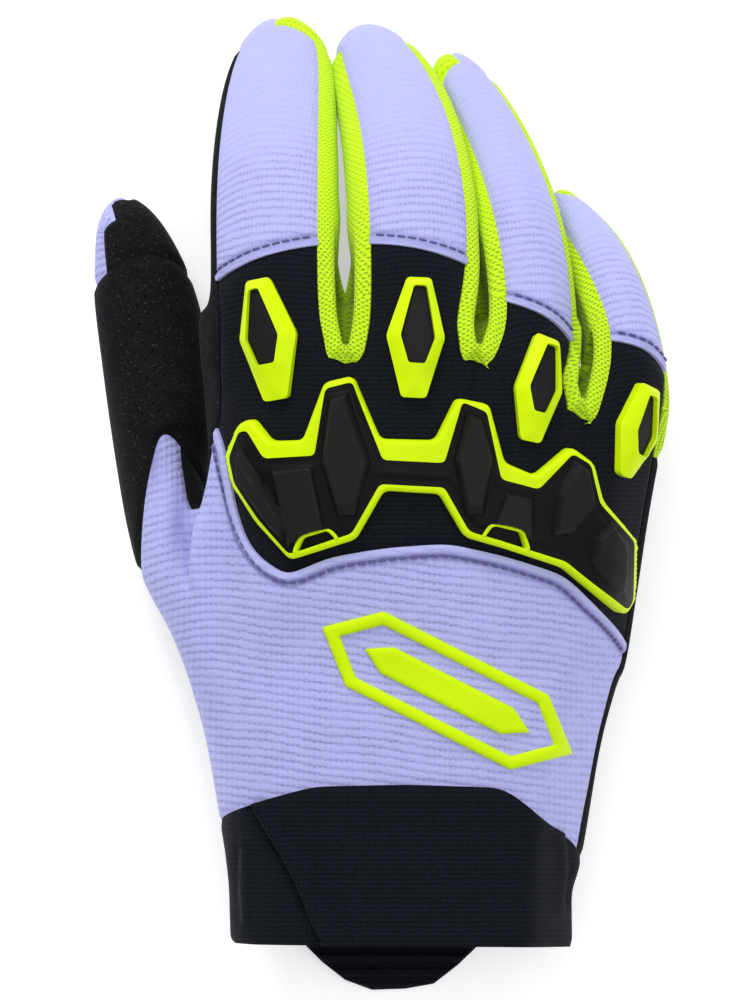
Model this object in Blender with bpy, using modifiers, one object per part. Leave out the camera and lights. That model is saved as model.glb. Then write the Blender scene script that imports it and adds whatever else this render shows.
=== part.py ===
# Motocross glove, right hand, size L: a hollow textile glove lying on its palm.
# Row frame: +Y towards the fingertips, +X towards the little finger, +Z out of the
# back of the hand. The origin is on the floor, under the middle of the palm's heel.
# All lengths are metres. Tables hold shares of the named sizes beside them.

import math

import bmesh
import bpy
import numpy as np
from mathutils import Vector
from mathutils.bvhtree import BVHTree
from mathutils.interpolate import poly_3d_calc

# Driving sizes
PALM_WIDTH = 0.107
HAND_LENGTH = 0.180
KNUCKLE_HEIGHT = 0.060
FABRIC_WALL = 0.0015
SEAM_GAP = 0.0004
CORNER_LIMIT = 0.4
PLATE_CLEARANCE = 0.0005
PLATE_GAP = 0.00035
GUARD_SPAN = 0.869
GUARD_PLACE = (0.0559, 0.4087)
GUARD_FRAME_THICKNESS = 0.0026
GUARD_SLAB_THICKNESS = 0.0022
GUARD_JOINT = 0.0003
BLOCK_HEIGHT = 0.0032
BLOCK_BEVEL = 0.0011
BLOCK_ROOT = 0.0006
FINGER_GUARD_LENGTH = 0.0283
FINGER_GUARD_THICKNESS = 0.0028
FINGER_GUARD_BEVEL = 0.0009
FINGER_GUARD_FLOOR = 0.0009
INLAY_CLEARANCE = 0.0003
INLAY_STEP_DOWN = 0.0006
TRANSFER_LENGTH = 0.064
TRANSFER_PLACE = (0.085, 0.128)
TRANSFER_TURN = -27.0
TRANSFER_THICKNESS = 0.0008
PULL_TAB_WIDTH = 0.041
PULL_TAB_THICKNESS = 0.0020
PULL_TAB_LAP = 0.0080
PLATE_STEP = 0.0058
NORMAL_REACH = 0.0030
SKIN_LEVEL = 1
PLATE_SKIN_LEVEL = 3
SECTION_POWER = 2.5
FINGER_POWER = 2.15
SMOOTHING_SHRINK = 0.935

# Worked out from them
GUARD_WIDTH = GUARD_SPAN * PALM_WIDTH

# Sections across the hand, from the cuff's end to the finger crotches.
# x_*: little-finger-ward places of the outer edges and of the three valleys between the
# fingers, as shares of PALM_WIDTH. y_*: the same five places along the hand, as shares of
# HAND_LENGTH. dip: how far the section falls back under the index finger, side: on the
# thumb's side, under: on the palm's side, as shares of HAND_LENGTH. tongue: half the width
# of the strip between two fingers, as a share of PALM_WIDTH. height, arch, slope, half:
# the middle's height, its fall to both edges, its lean to the little finger and half the
# hand's thickness, as shares of KNUCKLE_HEIGHT. valley: how far the valleys sink.
HAND_SECTIONS = (
    ("section", "x_left", "x_0", "x_1", "x_2", "x_right", "y_left", "y_0", "y_1", "y_2", "y_right",
     "dip", "crown", "side", "under", "tongue", "rise", "height", "arch", "slope", "half", "valley"),
    ("cuff_end", -0.386, -0.18, 0.005, 0.19, 0.366, -0.197, -0.198, -0.199, -0.200, -0.201,
     0.0, 0.0, 0.0, 0.0, 0.052, 0.0, 0.355, 0.0, 0.0, 0.375, 0.0),
    ("cuff_middle", -0.388, -0.182, 0.005, 0.195, 0.366, -0.115, -0.108, -0.108, -0.110, -0.125,
     0.0, 0.0, 0.0, 0.0, 0.052, 0.0, 0.365, 0.0, 0.0, 0.39, 0.0),
    ("hem", -0.407, -0.20, 0.0, 0.21, 0.384, -0.034, 0.014, 0.017, 0.012, -0.100,
     0.0, 0.0, 0.0, 0.050, 0.055, 0.0, 0.385, 0.02, 0.0, 0.42, 0.0),
    ("heel", -0.436, -0.225, 0.0, 0.23, 0.421, 0.082, 0.082, 0.085, 0.082, 0.045,
     0.0, 0.0, 0.0, 0.035, 0.055, 0.0, 0.405, 0.035, 0.0, 0.44, 0.0),
    ("palm", -0.440, -0.22, 0.015, 0.262, 0.452, 0.160, 0.162, 0.162, 0.152, 0.112,
     0.0, 0.0, 0.0, 0.015, 0.055, 0.0, 0.455, 0.08, 0.03, 0.41, 0.0),
    ("back", -0.445, -0.20, 0.043, 0.298, 0.472, 0.270, 0.225, 0.228, 0.200, 0.150,
     0.02, 0.0, 0.012, 0.0, 0.055, 0.0, 0.53, 0.11, 0.05, 0.38, 0.0),
    ("seam", -0.441, -0.175, 0.090, 0.346, 0.484, 0.560, 0.278, 0.303, 0.260, 0.148,
     0.205, -0.006, 0.070, 0.0, 0.058, 0.0, 0.60, 0.14, 0.07, 0.35, 0.0),
    ("knuckle", -0.452, -0.144, 0.127, 0.372, 0.526, 0.540, 0.440, 0.446, 0.400, 0.330,
     0.0, 0.0, 0.0, 0.0, 0.030, 0.0, 0.70, 0.17, 0.08, 0.30, 0.02),
    ("tongue", -0.454, -0.131, 0.159, 0.383, 0.558, 0.590, 0.550, 0.552, 0.474, 0.430,
     0.0, 0.015, 0.0, 0.0, 0.012, 0.022, 0.755, 0.20, 0.085, 0.25, 0.07),
    ("crotch", -0.454, -0.133, 0.155, 0.376, 0.577, 0.615, 0.600, 0.604, 0.526, 0.490,
     0.0, 0.030, 0.0, 0.0, 0.045, 0.0, 0.770, 0.205, 0.087, 0.225, 0.16),
)

# Finger sections from the seam above the knuckle to the tip. x and width (half of it) are
# shares of PALM_WIDTH, y of HAND_LENGTH, z and depth (half the thickness) of KNUCKLE_HEIGHT.
# skew turns the section about the vertical, in degrees.
FINGER_SECTIONS = {
    "index": (
        ("x", "y", "z", "width", "depth", "skew"),
        (-0.288, 0.660, 0.745, 0.145, 0.200, 22.0),
        (-0.293, 0.775, 0.610, 0.135, 0.190, 6.0),
        (-0.285, 0.880, 0.350, 0.124, 0.175, 0.0),
        (-0.270, 0.958, 0.105, 0.102, 0.155, -3.0),
    ),
    "middle": (
        ("x", "y", "z", "width", "depth", "skew"),
        (0.015, 0.668, 0.775, 0.137, 0.205, -14.0),
        (0.010, 0.775, 0.640, 0.131, 0.195, -4.0),
        (-0.023, 0.874, 0.370, 0.116, 0.180, 6.0),
        (-0.083, 0.946, 0.105, 0.087, 0.155, 16.0),
    ),
    "ring": (
        ("x", "y", "z", "width", "depth", "skew"),
        (0.272, 0.578, 0.715, 0.114, 0.190, -26.0),
        (0.258, 0.702, 0.595, 0.104, 0.180, -6.0),
        (0.194, 0.824, 0.330, 0.088, 0.165, 12.0),
        (0.106, 0.914, 0.100, 0.070, 0.145, 24.0),
    ),
    "little": (
        ("x", "y", "z", "width", "depth", "skew"),
        (0.480, 0.540, 0.560, 0.097, 0.175, -28.0),
        (0.450, 0.622, 0.440, 0.088, 0.160, -8.0),
        (0.395, 0.698, 0.245, 0.075, 0.140, 14.0),
        (0.330, 0.742, 0.090, 0.055, 0.120, 28.0),
    ),
}
FINGERS = tuple(FINGER_SECTIONS)
FINGER_ROLL = {"index": -4.0, "middle": 4.0, "ring": 12.0, "little": 22.0}
FINGER_TIP = {"index": 0.046, "middle": 0.046, "ring": 0.046, "little": 0.036}
TIP_COVER = {"index": ("left",), "middle": ("left", "right"), "ring": ("right",), "little": ("left",)}

# Thumb sections from its root to its tip, in the same shares. stagger is how far the
# seam's section runs ahead on top of the thumb, as a share of HAND_LENGTH.
THUMB_SECTIONS = (
    ("x", "y", "z", "width", "depth", "skew"),
    (-0.450, 0.250, 0.365, 0.080, 0.280, 50.0),
    (-0.512, 0.330, 0.275, 0.090, 0.225, 24.0),
    (-0.524, 0.440, 0.235, 0.103, 0.215, 6.0),
    (-0.542, 0.560, 0.200, 0.111, 0.205, 2.0),
    (-0.570, 0.655, 0.180, 0.103, 0.190, 8.0),
    (-0.609, 0.731, 0.150, 0.066, 0.145, 14.0),
)
THUMB_SEAM_SECTION = 1
THUMB_PATCH_SECTION = 4
THUMB_STAGGERS = {
    THUMB_SEAM_SECTION: (0.150, 0.115, 0.06, 0.03, 0.02, 0.0, 0.0, 0.0, -0.05, -0.06, -0.01, 0.08),
    THUMB_PATCH_SECTION: (0.04, 0.03, 0.0, -0.02, -0.02, 0.0, 0.0, 0.0, 0.0, 0.0, 0.015, 0.035),
}
THUMB_TIP = 0.030
THUMB_ANGLES = (15, 45, 75, 105, 135, 165, 195, 225, 255, 285, 315, 345)

# Outlines seen from above, as shares of GUARD_WIDTH from the guard's middle.
GUARD_OUTLINE = (
    ("x", "y"),
    (-0.467, 0.114), (-0.438, 0.129), (-0.393, 0.072), (-0.316, 0.074), (-0.267, 0.215),
    (-0.195, 0.230), (-0.129, 0.077), (0.002, 0.074), (0.054, 0.178), (0.136, 0.161),
    (0.171, 0.020), (0.245, -0.012), (0.329, 0.059), (0.388, 0.017), (0.408, -0.074),
    (0.486, -0.173), (0.481, -0.321), (0.455, -0.356), (0.314, -0.240), (0.166, -0.190),
    (0.074, -0.163), (0.012, -0.057), (-0.121, -0.049), (-0.188, -0.168), (-0.346, -0.220),
    (-0.428, -0.124), (-0.484, -0.030), (-0.497, 0.037),
)
SLAB_OUTLINE = (
    ("x", "y"),
    (-0.460, 0.096), (-0.442, 0.099), (-0.403, 0.030), (-0.287, 0.037), (-0.264, 0.200),
    (-0.193, 0.215), (-0.124, 0.027), (0.022, 0.020), (0.064, 0.168), (0.129, 0.143),
    (0.161, -0.020), (0.250, -0.044), (0.329, 0.042), (0.376, 0.015), (0.396, -0.079),
    (0.472, -0.173), (0.469, -0.319), (0.455, -0.341), (0.314, -0.222), (0.166, -0.173),
    (0.084, -0.148), (0.022, -0.040), (-0.131, -0.032), (-0.198, -0.153), (-0.346, -0.205),
    (-0.415, -0.119), (-0.470, -0.030), (-0.482, 0.032),
)
BLOCK_OUTLINES = {
    "first": (("x", "y"), (-0.460, 0.070), (-0.425, 0.010), (-0.345, -0.115), (-0.350, -0.180),
              (-0.388, -0.140), (-0.460, -0.025)),
    "second": (("x", "y"), (-0.254, 0.180), (-0.203, 0.190), (-0.150, 0.020), (-0.188, -0.110),
               (-0.232, -0.115), (-0.272, 0.020)),
    "third": (("x", "y"), (0.072, 0.145), (0.118, 0.128), (0.144, 0.030), (0.118, -0.111),
              (0.074, -0.111), (0.042, 0.025)),
    "fourth": (("x", "y"), (0.334, 0.027), (0.368, 0.005), (0.384, -0.082), (0.326, -0.156),
               (0.272, -0.161), (0.287, -0.054)),
    "fifth": (("x", "y"), (0.418, -0.120), (0.448, -0.182), (0.443, -0.296), (0.428, -0.304),
              (0.366, -0.227), (0.376, -0.160)),
}

# Finger guards. The place of each on the hand is given in shares of PALM_WIDTH and
# HAND_LENGTH, its outline and its inlay's outline in shares of FINGER_GUARD_LENGTH.
FINGER_GUARDS = {
    "index": ((-0.294, 0.575), (
        ("x", "y", "inlay_x", "inlay_y"),
        (-0.162, 0.463, -0.122, 0.390), (0.008, 0.496, -0.057, 0.406), (0.227, 0.049, 0.106, 0.032),
        (0.162, -0.471, 0.081, -0.187), (-0.016, -0.504, -0.049, -0.211), (-0.211, -0.008, -0.138, -0.008))),
    "middle": ((0.017, 0.577), (
        ("x", "y", "inlay_x", "inlay_y"),
        (-0.065, 0.479, -0.015, 0.406), (0.114, 0.471, 0.073, 0.398), (0.227, -0.016, 0.146, -0.016),
        (0.081, -0.487, 0.071, -0.211), (-0.114, -0.479, -0.057, -0.203), (-0.227, 0.008, -0.116, 0.008))),
    "ring": ((0.275, 0.511), (
        ("x", "y", "inlay_x", "inlay_y"),
        (-0.016, 0.447, 0.036, 0.357), (0.146, 0.382, 0.105, 0.333), (0.179, -0.032, 0.120, -0.016),
        (0.016, -0.431, 0.045, -0.187), (-0.138, -0.398, -0.050, -0.162), (-0.179, 0.024, -0.085, 0.032))),
    "little": ((0.484, 0.4585), (
        ("x", "y", "inlay_x", "inlay_y"),
        (0.032, 0.398, 0.053, 0.309), (0.171, 0.333, 0.105, 0.284), (0.146, -0.073, 0.088, -0.032),
        (-0.065, -0.382, 0.012, -0.195), (-0.146, -0.341, -0.050, -0.162), (-0.138, 0.065, -0.050, 0.024))),
}

# A raised frame and its core on the back of the hand, as shares of TRANSFER_LENGTH.
TRANSFER_FRAME = (
    ("x", "y", "inner_x", "inner_y"),
    (-0.500, 0.000, -0.430, 0.000), (-0.330, 0.150, -0.311, 0.107), (0.330, 0.150, 0.311, 0.107),
    (0.500, 0.000, 0.430, 0.000), (0.330, -0.150, 0.311, -0.107), (-0.330, -0.150, -0.311, -0.107),
)
TRANSFER_CORE = (
    ("x", "y"),
    (-0.330, 0.000), (-0.240, 0.052), (0.240, 0.052), (0.330, 0.000), (0.240, -0.052), (-0.240, -0.052),
)
PULL_TAB_OUTLINE = (
    ("x", "y"), (-0.566, 0.0), (-0.477, -0.090), (-0.348, -0.191), (-0.196, -0.247),
    (-0.006, -0.240), (0.151, -0.212), (0.286, -0.107), (0.398, 0.0),
)

DORSAL_COLUMNS = 15
SIDE_ANGLES_RIGHT = (101.0, 112.0, 125.0)
SIDE_ANGLES_LEFT = (-124.0, -108.0, -92.0)
EDGE_ANGLE_LEFT = -68.0
EDGE_ANGLE_RIGHT = 90.0
FINGER_ANGLES = {
    "index": (-96.0, -10.0, 68.0, 90.0, 112.0, 136.0, 180.0, -144.0, -126.0, -111.0),
    "middle": (-60.0, 2.0, 70.0, 90.0, 112.0, 136.0, 180.0, -136.0, -108.0, -83.0),
    "ring": (-58.0, 8.0, 96.0, 108.0, 121.0, 136.0, 180.0, -136.0, -108.0, -80.0),
    "little": (-60.0, 4.0, 84.0, 99.0, 115.0, 136.0, 180.0, -136.0, -108.0, -83.0),
}

PIECES = (
    "cuff", "back_panel", "knuckle_panel", "palm",
    "finger_back_index", "finger_back_middle", "finger_back_ring", "finger_back_little",
    "fourchette_index_middle", "fourchette_middle_ring", "fourchette_ring_little",
    "side_wall_little", "thumb_patch", "thumb_front", "thumb_back",
)
LABEL = {piece: number for number, piece in enumerate(PIECES)}
FOURCHETTES = ("fourchette_index_middle", "fourchette_middle_ring", "fourchette_ring_little")


def table(rows):
    """Yields each row after the first as a dictionary keyed by the first."""
    heads = rows[0]
    return [dict(zip(heads, row)) for row in rows[1:]]


def power_section(angle_deg, power):
    """Across and up shares of a rounded section at an angle from straight up."""
    angle = math.radians(angle_deg)
    across = math.copysign(abs(math.sin(angle)) ** (2 / power), math.sin(angle))
    up = math.copysign(abs(math.cos(angle)) ** (2 / power), math.cos(angle))
    return across, up


def hand_ring(row):
    """The 28 cage points of one section across the hand, and its three web points."""
    stations_x = [row[k] for k in ("x_left", "x_0", "x_1", "x_2", "x_right")]
    stations_y = [row[k] for k in ("y_left", "y_0", "y_1", "y_2", "y_right")]
    middle = (stations_x[0] + stations_x[4]) / 2
    half_width = (stations_x[4] - stations_x[0]) / 2

    def level(across):
        return row["height"] - row["arch"] * across ** 2 - row["slope"] * across

    def point(x, y, across, up, sink=0.0):
        z = level(across) + row["half"] * up - sink
        return Vector((x * PALM_WIDTH, y * HAND_LENGTH, z * KNUCKLE_HEIGHT))

    def inner(x, y, side, sink=0.0):
        across = (x - middle) / half_width
        up = (1 - min(abs(across), 1.0) ** SECTION_POWER) ** (1 / SECTION_POWER)
        return point(x, y, across, side * up, side * sink)

    def edge(angle, y):
        across, up = power_section(angle, SECTION_POWER)
        return point(middle + across * half_width, y, across, up)

    dorsal, palmar = [], []
    for lane in range(4):
        x0, x1 = stations_x[lane], stations_x[lane + 1]
        y0, y1 = stations_y[lane], stations_y[lane + 1]
        crown_y = (y0 + y1) / 2 - row["crown"] - (row["dip"] if lane == 0 else 0.0)
        crown_x = (x0 + x1) / 2
        left_x = x0 + row["tongue"]
        right_x = x1 - row["tongue"]
        left_y = y0 + (crown_y - y0) * (left_x - x0) / (crown_x - x0) + row["rise"]
        right_y = y1 + (crown_y - y1) * (x1 - right_x) / (x1 - crown_x) + row["rise"]
        dorsal.append(edge(EDGE_ANGLE_LEFT, y0) if lane == 0 else inner(left_x, left_y, 1))
        dorsal.append(inner(crown_x, crown_y, 1))
        dorsal.append(edge(EDGE_ANGLE_RIGHT, y1) if lane == 3 else inner(right_x, right_y, 1))
        if lane < 3:
            dorsal.append(inner(x1, y1, 1, row["valley"]))
        palmar.append(inner(crown_x, (y0 + y1) / 2 - row["under"], -1))
        if lane < 3:
            palmar.append(inner(x1, y1 - row["under"], -1, row["valley"]))
    side_left = stations_y[0] - row["side"]
    right = [edge(a, stations_y[4] - row["under"] * (i + 1) / 4)
             for i, a in enumerate(SIDE_ANGLES_RIGHT)]
    left = [edge(a, side_left - row["under"] * (3 - i) / 4)
            for i, a in enumerate(SIDE_ANGLES_LEFT)]
    ring = dorsal + right + palmar[::-1] + left
    webs = [(dorsal[4 * lane + 3] + palmar[2 * lane + 1]) / 2 for lane in range(3)]
    return ring, webs


def tube_ring(centre, ahead, row, roll, angles, power, stagger=None):
    """The cage points of one section of a finger or the thumb."""
    skew, lean = math.radians(row["skew"]), math.radians(roll)
    across = Vector((math.cos(skew) * math.cos(lean), math.sin(skew) * math.cos(lean), -math.sin(lean)))
    up = across.cross(ahead).normalized()
    points = []
    for number, angle in enumerate(angles):
        side, lift = power_section(angle, power)
        reach = row["width"] * PALM_WIDTH / SMOOTHING_SHRINK
        rise = row["depth"] * KNUCKLE_HEIGHT / SMOOTHING_SHRINK
        slide = ahead * (stagger[number] * HAND_LENGTH if stagger else 0.0)
        points.append(centre + across * side * reach + up * lift * rise + slide)
    return points


def tube_path(rows):
    """Centres of a tube's sections and the direction of the tube at each."""
    centres = [Vector((r["x"] * PALM_WIDTH, r["y"] * HAND_LENGTH, r["z"] * KNUCKLE_HEIGHT)) for r in rows]
    last = len(centres) - 1
    ahead = [(centres[min(i + 1, last)] - centres[max(i - 1, 0)]).normalized() for i in range(last + 1)]
    return centres, ahead


class Cage:
    """Points and labelled four-sided faces of the whole glove's coarse outer surface."""

    def __init__(self):
        self.points, self.faces, self.labels = [], [], []

    def add(self, points):
        first = len(self.points)
        self.points.extend(points)
        return list(range(first, len(self.points)))

    def face(self, corners, piece):
        self.faces.append(corners)
        self.labels.append(LABEL[piece])


def hand_piece(section, column):
    """Which panel the face between two hand sections belongs to, by its column."""
    if section in ("cuff_end", "cuff_middle"):
        return "cuff"
    dorsal = column < DORSAL_COLUMNS - 1
    tongue = dorsal and column % 4 in (2, 3)
    if section == "tongue" and tongue:
        return FOURCHETTES[column // 4]
    if section == "tongue" and DORSAL_COLUMNS - 1 <= column < DORSAL_COLUMNS + 2:
        return "side_wall_little"
    if dorsal:
        return "knuckle_panel" if section in ("seam", "knuckle", "tongue") else "back_panel"
    if section == "hem" and column in (26, 27):
        return "back_panel"
    return "palm"


def build_hand(cage):
    """The cuff, the palm and the back of the hand, up to the finger crotches."""
    names, rings, webs = [], [], []
    for row in table(HAND_SECTIONS):
        points, web = hand_ring(row)
        names.append(row["section"])
        rings.append(cage.add(points))
        webs.append(web)
    count = len(rings[0])
    thumb_rows = [names.index(n) for n in ("heel", "palm", "back")]
    for r in range(len(rings) - 1):
        for c in range(count):
            if r in thumb_rows and c in (25, 26, 27):
                continue
            d = (c + 1) % count
            cage.face((rings[r][c], rings[r][d], rings[r + 1][d], rings[r + 1][c]), hand_piece(names[r], c))
    return names, rings, cage.add(webs[-1])


def finger_piece(finger, column, above_seam):
    """Which panel a face along a finger belongs to, by its column."""
    number = FINGERS.index(finger)
    if column in (0, 1):
        return f"finger_back_{finger}" if above_seam else "knuckle_panel"
    if column in (2, 3, 4):
        return FOURCHETTES[number] if number < 3 else "side_wall_little"
    if column in (7, 8, 9) and number > 0:
        return FOURCHETTES[number - 1]
    return "palm"


def build_finger(cage, finger, root):
    """One finger from its ring of crotch points to its closed tip."""
    rows = table(FINGER_SECTIONS[finger])
    centres, ahead = tube_path(rows)
    angles = FINGER_ANGLES[finger]
    before = root
    for number, row in enumerate(rows):
        roll = FINGER_ROLL[finger]
        ring = cage.add(tube_ring(centres[number], ahead[number], row, roll, angles, FINGER_POWER))
        for c in range(10):
            d = (c + 1) % 10
            cage.face((before[c], before[d], ring[d], ring[c]), finger_piece(finger, c, number > 0))
        before = ring
    tip = ahead[-1] * FINGER_TIP[finger] * HAND_LENGTH
    top, bottom = Vector(cage.points[before[1]]), Vector(cage.points[before[6]])
    cage.points[before[1]] = top + tip * 0.45
    cage.points[before[6]] = bottom + tip * 0.45
    upper, lower = cage.add([top.lerp(bottom, 0.32) + tip, top.lerp(bottom, 0.68) + tip])
    right, left = finger_piece(finger, 3, True), finger_piece(finger, 8, True)
    back = finger_piece(finger, 0, True)
    left_end, crown, right_end, r1, r2, r3, under, l3, l2, l1 = before
    cage.face((crown, right_end, r1, upper), back if "right" in TIP_COVER[finger] else right)
    cage.face((upper, r1, r2, lower), right)
    cage.face((lower, r2, r3, under), right)
    cage.face((left_end, crown, upper, l1), back if "left" in TIP_COVER[finger] else left)
    cage.face((l1, upper, lower, l2), left)
    cage.face((l2, lower, under, l3), left)


def thumb_piece(column, section):
    """Which panel a face along the thumb belongs to."""
    if section <= THUMB_SEAM_SECTION:
        return "back_panel" if column in (8, 9, 10, 11, 0) else "palm"
    if section <= THUMB_PATCH_SECTION:
        return "thumb_back" if column in (4, 5, 6, 7) else "thumb_patch"
    return "thumb_back" if column in (4, 5, 6, 7, 8, 9) else "thumb_front"


def build_thumb(cage, names, rings):
    """The thumb, from the opening in the hand's side to its closed tip."""
    heel, palm, back, seam = (rings[names.index(n)] for n in ("heel", "palm", "back", "seam"))
    before = [back[0], seam[0], seam[27], seam[26], seam[25], back[25],
              palm[25], heel[25], heel[26], heel[27], heel[0], palm[0]]
    rows = table(THUMB_SECTIONS)
    centres, ahead = tube_path(rows)
    for number, row in enumerate(rows):
        stagger = THUMB_STAGGERS.get(number)
        points = tube_ring(centres[number], ahead[number], row, 0.0, THUMB_ANGLES, FINGER_POWER, stagger)
        ring = cage.add(points)
        for c in range(12):
            d = (c + 1) % 12
            cage.face((before[c], before[d], ring[d], ring[c]), thumb_piece(c, number))
        before = ring
    tip = ahead[-1] * THUMB_TIP * HAND_LENGTH
    corners = [Vector(cage.points[before[i]]) for i in (10, 1, 4, 7)]
    inside = []
    for v in (1 / 3, 2 / 3):
        for u in (1 / 3, 2 / 3):
            upper = corners[0].lerp(corners[1], u)
            lower = corners[3].lerp(corners[2], u)
            inside.append(upper.lerp(lower, v) + tip)
    g = cage.add(inside)
    grid = [[before[10], before[11], before[0], before[1]],
            [before[9], g[0], g[1], before[2]],
            [before[8], g[2], g[3], before[3]],
            [before[7], before[6], before[5], before[4]]]
    for v in range(3):
        for u in range(3):
            piece = "thumb_front" if v == 0 and u > 0 or u == 2 else "thumb_back"
            cage.face((grid[v][u], grid[v][u + 1], grid[v + 1][u + 1], grid[v + 1][u]), piece)


def glove_cage():
    """The whole glove's coarse surface: hand, four fingers and thumb."""
    cage = Cage()
    names, rings, webs = build_hand(cage)
    crotch = rings[-1]
    for number, finger in enumerate(FINGERS):
        first = 4 * number
        root = [crotch[first], crotch[first + 1], crotch[first + 2]]
        under = crotch[DORSAL_COLUMNS + 3 + 2 * (3 - number)]
        if number < 3:
            right = [crotch[first + 3], webs[number], crotch[DORSAL_COLUMNS + 3 + 2 * (3 - number) - 1]]
        else:
            right = crotch[DORSAL_COLUMNS:DORSAL_COLUMNS + 3]
        if number > 0:
            left = [crotch[DORSAL_COLUMNS + 3 + 2 * (3 - number) + 1], webs[number - 1], crotch[first - 1]]
        else:
            left = crotch[25:28]
        build_finger(cage, finger, root + right + [under] + left)
    build_thumb(cage, names, rings)
    return cage


def smooth_skin(cage, level):
    """The cage smoothed into the glove's outer surface, flattened where it meets the floor."""
    mesh = bpy.data.meshes.new("glove_cage")
    mesh.from_pydata([tuple(p) for p in cage.points], [], cage.faces)
    for _ in PIECES:
        mesh.materials.append(None)
    mesh.polygons.foreach_set("material_index", cage.labels)
    holder = bpy.data.objects.new("glove_cage", mesh)
    bpy.context.scene.collection.objects.link(holder)
    smoothing = holder.modifiers.new("Smooth", "SUBSURF")
    smoothing.levels = smoothing.render_levels = level
    evaluated = holder.evaluated_get(bpy.context.evaluated_depsgraph_get())
    skin = bpy.data.meshes.new_from_object(evaluated)
    bpy.data.objects.remove(holder)
    for vertex in skin.vertices:
        vertex.co.z = max(vertex.co.z, 0.0)
    skin.update()
    return skin


def material(name, colour, roughness, metallic=0.0):
    """A Principled material of one colour."""
    made = bpy.data.materials.new(name)
    made.use_nodes = True
    shader = made.node_tree.nodes["Principled BSDF"]
    shader.inputs["Base Color"].default_value = (*colour, 1.0)
    shader.inputs["Roughness"].default_value = roughness
    shader.inputs["Metallic"].default_value = metallic
    return made


def add_object(name, mesh, finish, collection):
    made = bpy.data.objects.new(name, mesh)
    mesh.materials.clear()
    mesh.materials.append(finish)
    collection.objects.link(made)
    mesh.shade_smooth()
    mesh.set_sharp_from_angle(angle=math.radians(40))
    return made


def panel(skin, piece, finish, collection):
    """One sewn panel: its share of the skin given a wall inwards, with a narrow gap at its seams."""
    faces = [tuple(p.vertices) for p in skin.polygons if p.material_index == LABEL[piece]]
    used = sorted({v for face in faces for v in face})
    place = {v: skin.vertices[v].co.copy() for v in used}
    normal = {v: skin.vertices[v].normal.copy() for v in used}
    index = {v: number for number, v in enumerate(used)}
    directed = {(a, b) for face in faces for a, b in zip(face, face[1:] + face[:1])}
    border = sorted((a, b) for a, b in directed if (b, a) not in directed)
    inward = {v: Vector() for edge in border for v in edge}
    for a, b in border:
        side = (normal[a] + normal[b]).cross(place[b] - place[a]).normalized()
        inward[a] += side
        inward[b] += side
    for v, side in inward.items():
        place[v] += side * SEAM_GAP / max(side.length_squared, CORNER_LIMIT)
    outer = [place[v] for v in used]
    inner = [place[v] - normal[v] * FABRIC_WALL for v in used]
    count = len(used)
    solid_faces = [[index[v] for v in face] for face in faces]
    solid_faces += [[index[v] + count for v in reversed(face)] for face in faces]
    for a, b in border:
        p, q = index[a], index[b]
        if a < b:
            solid_faces += [[q, p, q + count], [p, p + count, q + count]]
        else:
            solid_faces += [[q, p, p + count], [q, p + count, q + count]]
    mesh = bpy.data.meshes.new(piece)
    mesh.from_pydata([tuple(p) for p in outer + inner], [], solid_faces)
    return add_object(piece, mesh, finish, collection)


class Surface:
    """The skin as a surface to lay plates on, found by a ray along the vertical."""

    def __init__(self, skin, side, furthest_y=None):
        bm = bmesh.new()
        bm.from_mesh(skin)
        self.tree = BVHTree.FromBMesh(bm)
        bm.free()
        self.skin, self.side, self.furthest_y = skin, side, furthest_y

    def find(self, x, y):
        """The skin's point over (x, y) and its normal, or two empty values beside the hand."""
        hit, _, face, _ = self.tree.ray_cast(Vector((x, y, self.side)), Vector((0, 0, -self.side)))
        if hit is None:
            return None, Vector()
        corners = [self.skin.vertices[v] for v in self.skin.polygons[face].vertices]
        shares = poly_3d_calc([c.co for c in corners], hit)
        return hit, sum((c.normal * share for c, share in zip(corners, shares)), Vector())

    def place(self, x, y, lift):
        """The point that lies lift metres off the skin over (x, y), along the mean normal nearby."""
        reach_y = y if self.furthest_y is None else max(y, self.furthest_y)
        hit, normal = self.find(x, reach_y)
        for dx, dy in ((1, 0), (-1, 0), (0, 1), (0, -1)):
            normal = normal + self.find(x + dx * NORMAL_REACH, reach_y + dy * NORMAL_REACH)[1]
        return hit + normal.normalized() * lift + Vector((0, y - reach_y, 0))


def spread(rows, size, place, turn=0.0, heads=("x", "y")):
    """A table's outline in metres, turned and moved to its place on the hand."""
    c, s = math.cos(math.radians(turn)), math.sin(math.radians(turn))
    points = [(r[heads[0]] * size, r[heads[1]] * size) for r in table(rows)]
    middle_x, middle_y = place[0] * PALM_WIDTH, place[1] * HAND_LENGTH
    return [(middle_x + c * x - s * y, middle_y + s * x + c * y) for x, y in points]


def lofted(name, surface, loops, ring=False):
    """A closed solid through loops of (outline, lift), capped, or joined end to end as a ring."""
    points, faces = [], []
    count = len(loops[0][0])
    for outline, lift in loops:
        points += [surface.place(x, y, lift) for x, y in outline]
    last = len(loops) if ring else len(loops) - 1
    for r in range(last):
        a, b = r * count, (r + 1) % len(loops) * count
        faces += [(a + i, a + (i + 1) % count, b + (i + 1) % count, b + i) for i in range(count)]
    if not ring:
        for first, (outline, lift), step in ((0, loops[0], -1), ((len(loops) - 1) * count, loops[-1], 1)):
            middle = len(points)
            x, y = np.mean(outline, axis=0)
            points.append(surface.place(x, y, lift))
            order = [first + i for i in range(count)][::step]
            faces += [(order[i], order[(i + 1) % count], middle) for i in range(count)]
    mesh = bpy.data.meshes.new(name)
    mesh.from_pydata([tuple(p) for p in points], [], faces)
    return faced_out(mesh)


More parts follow.
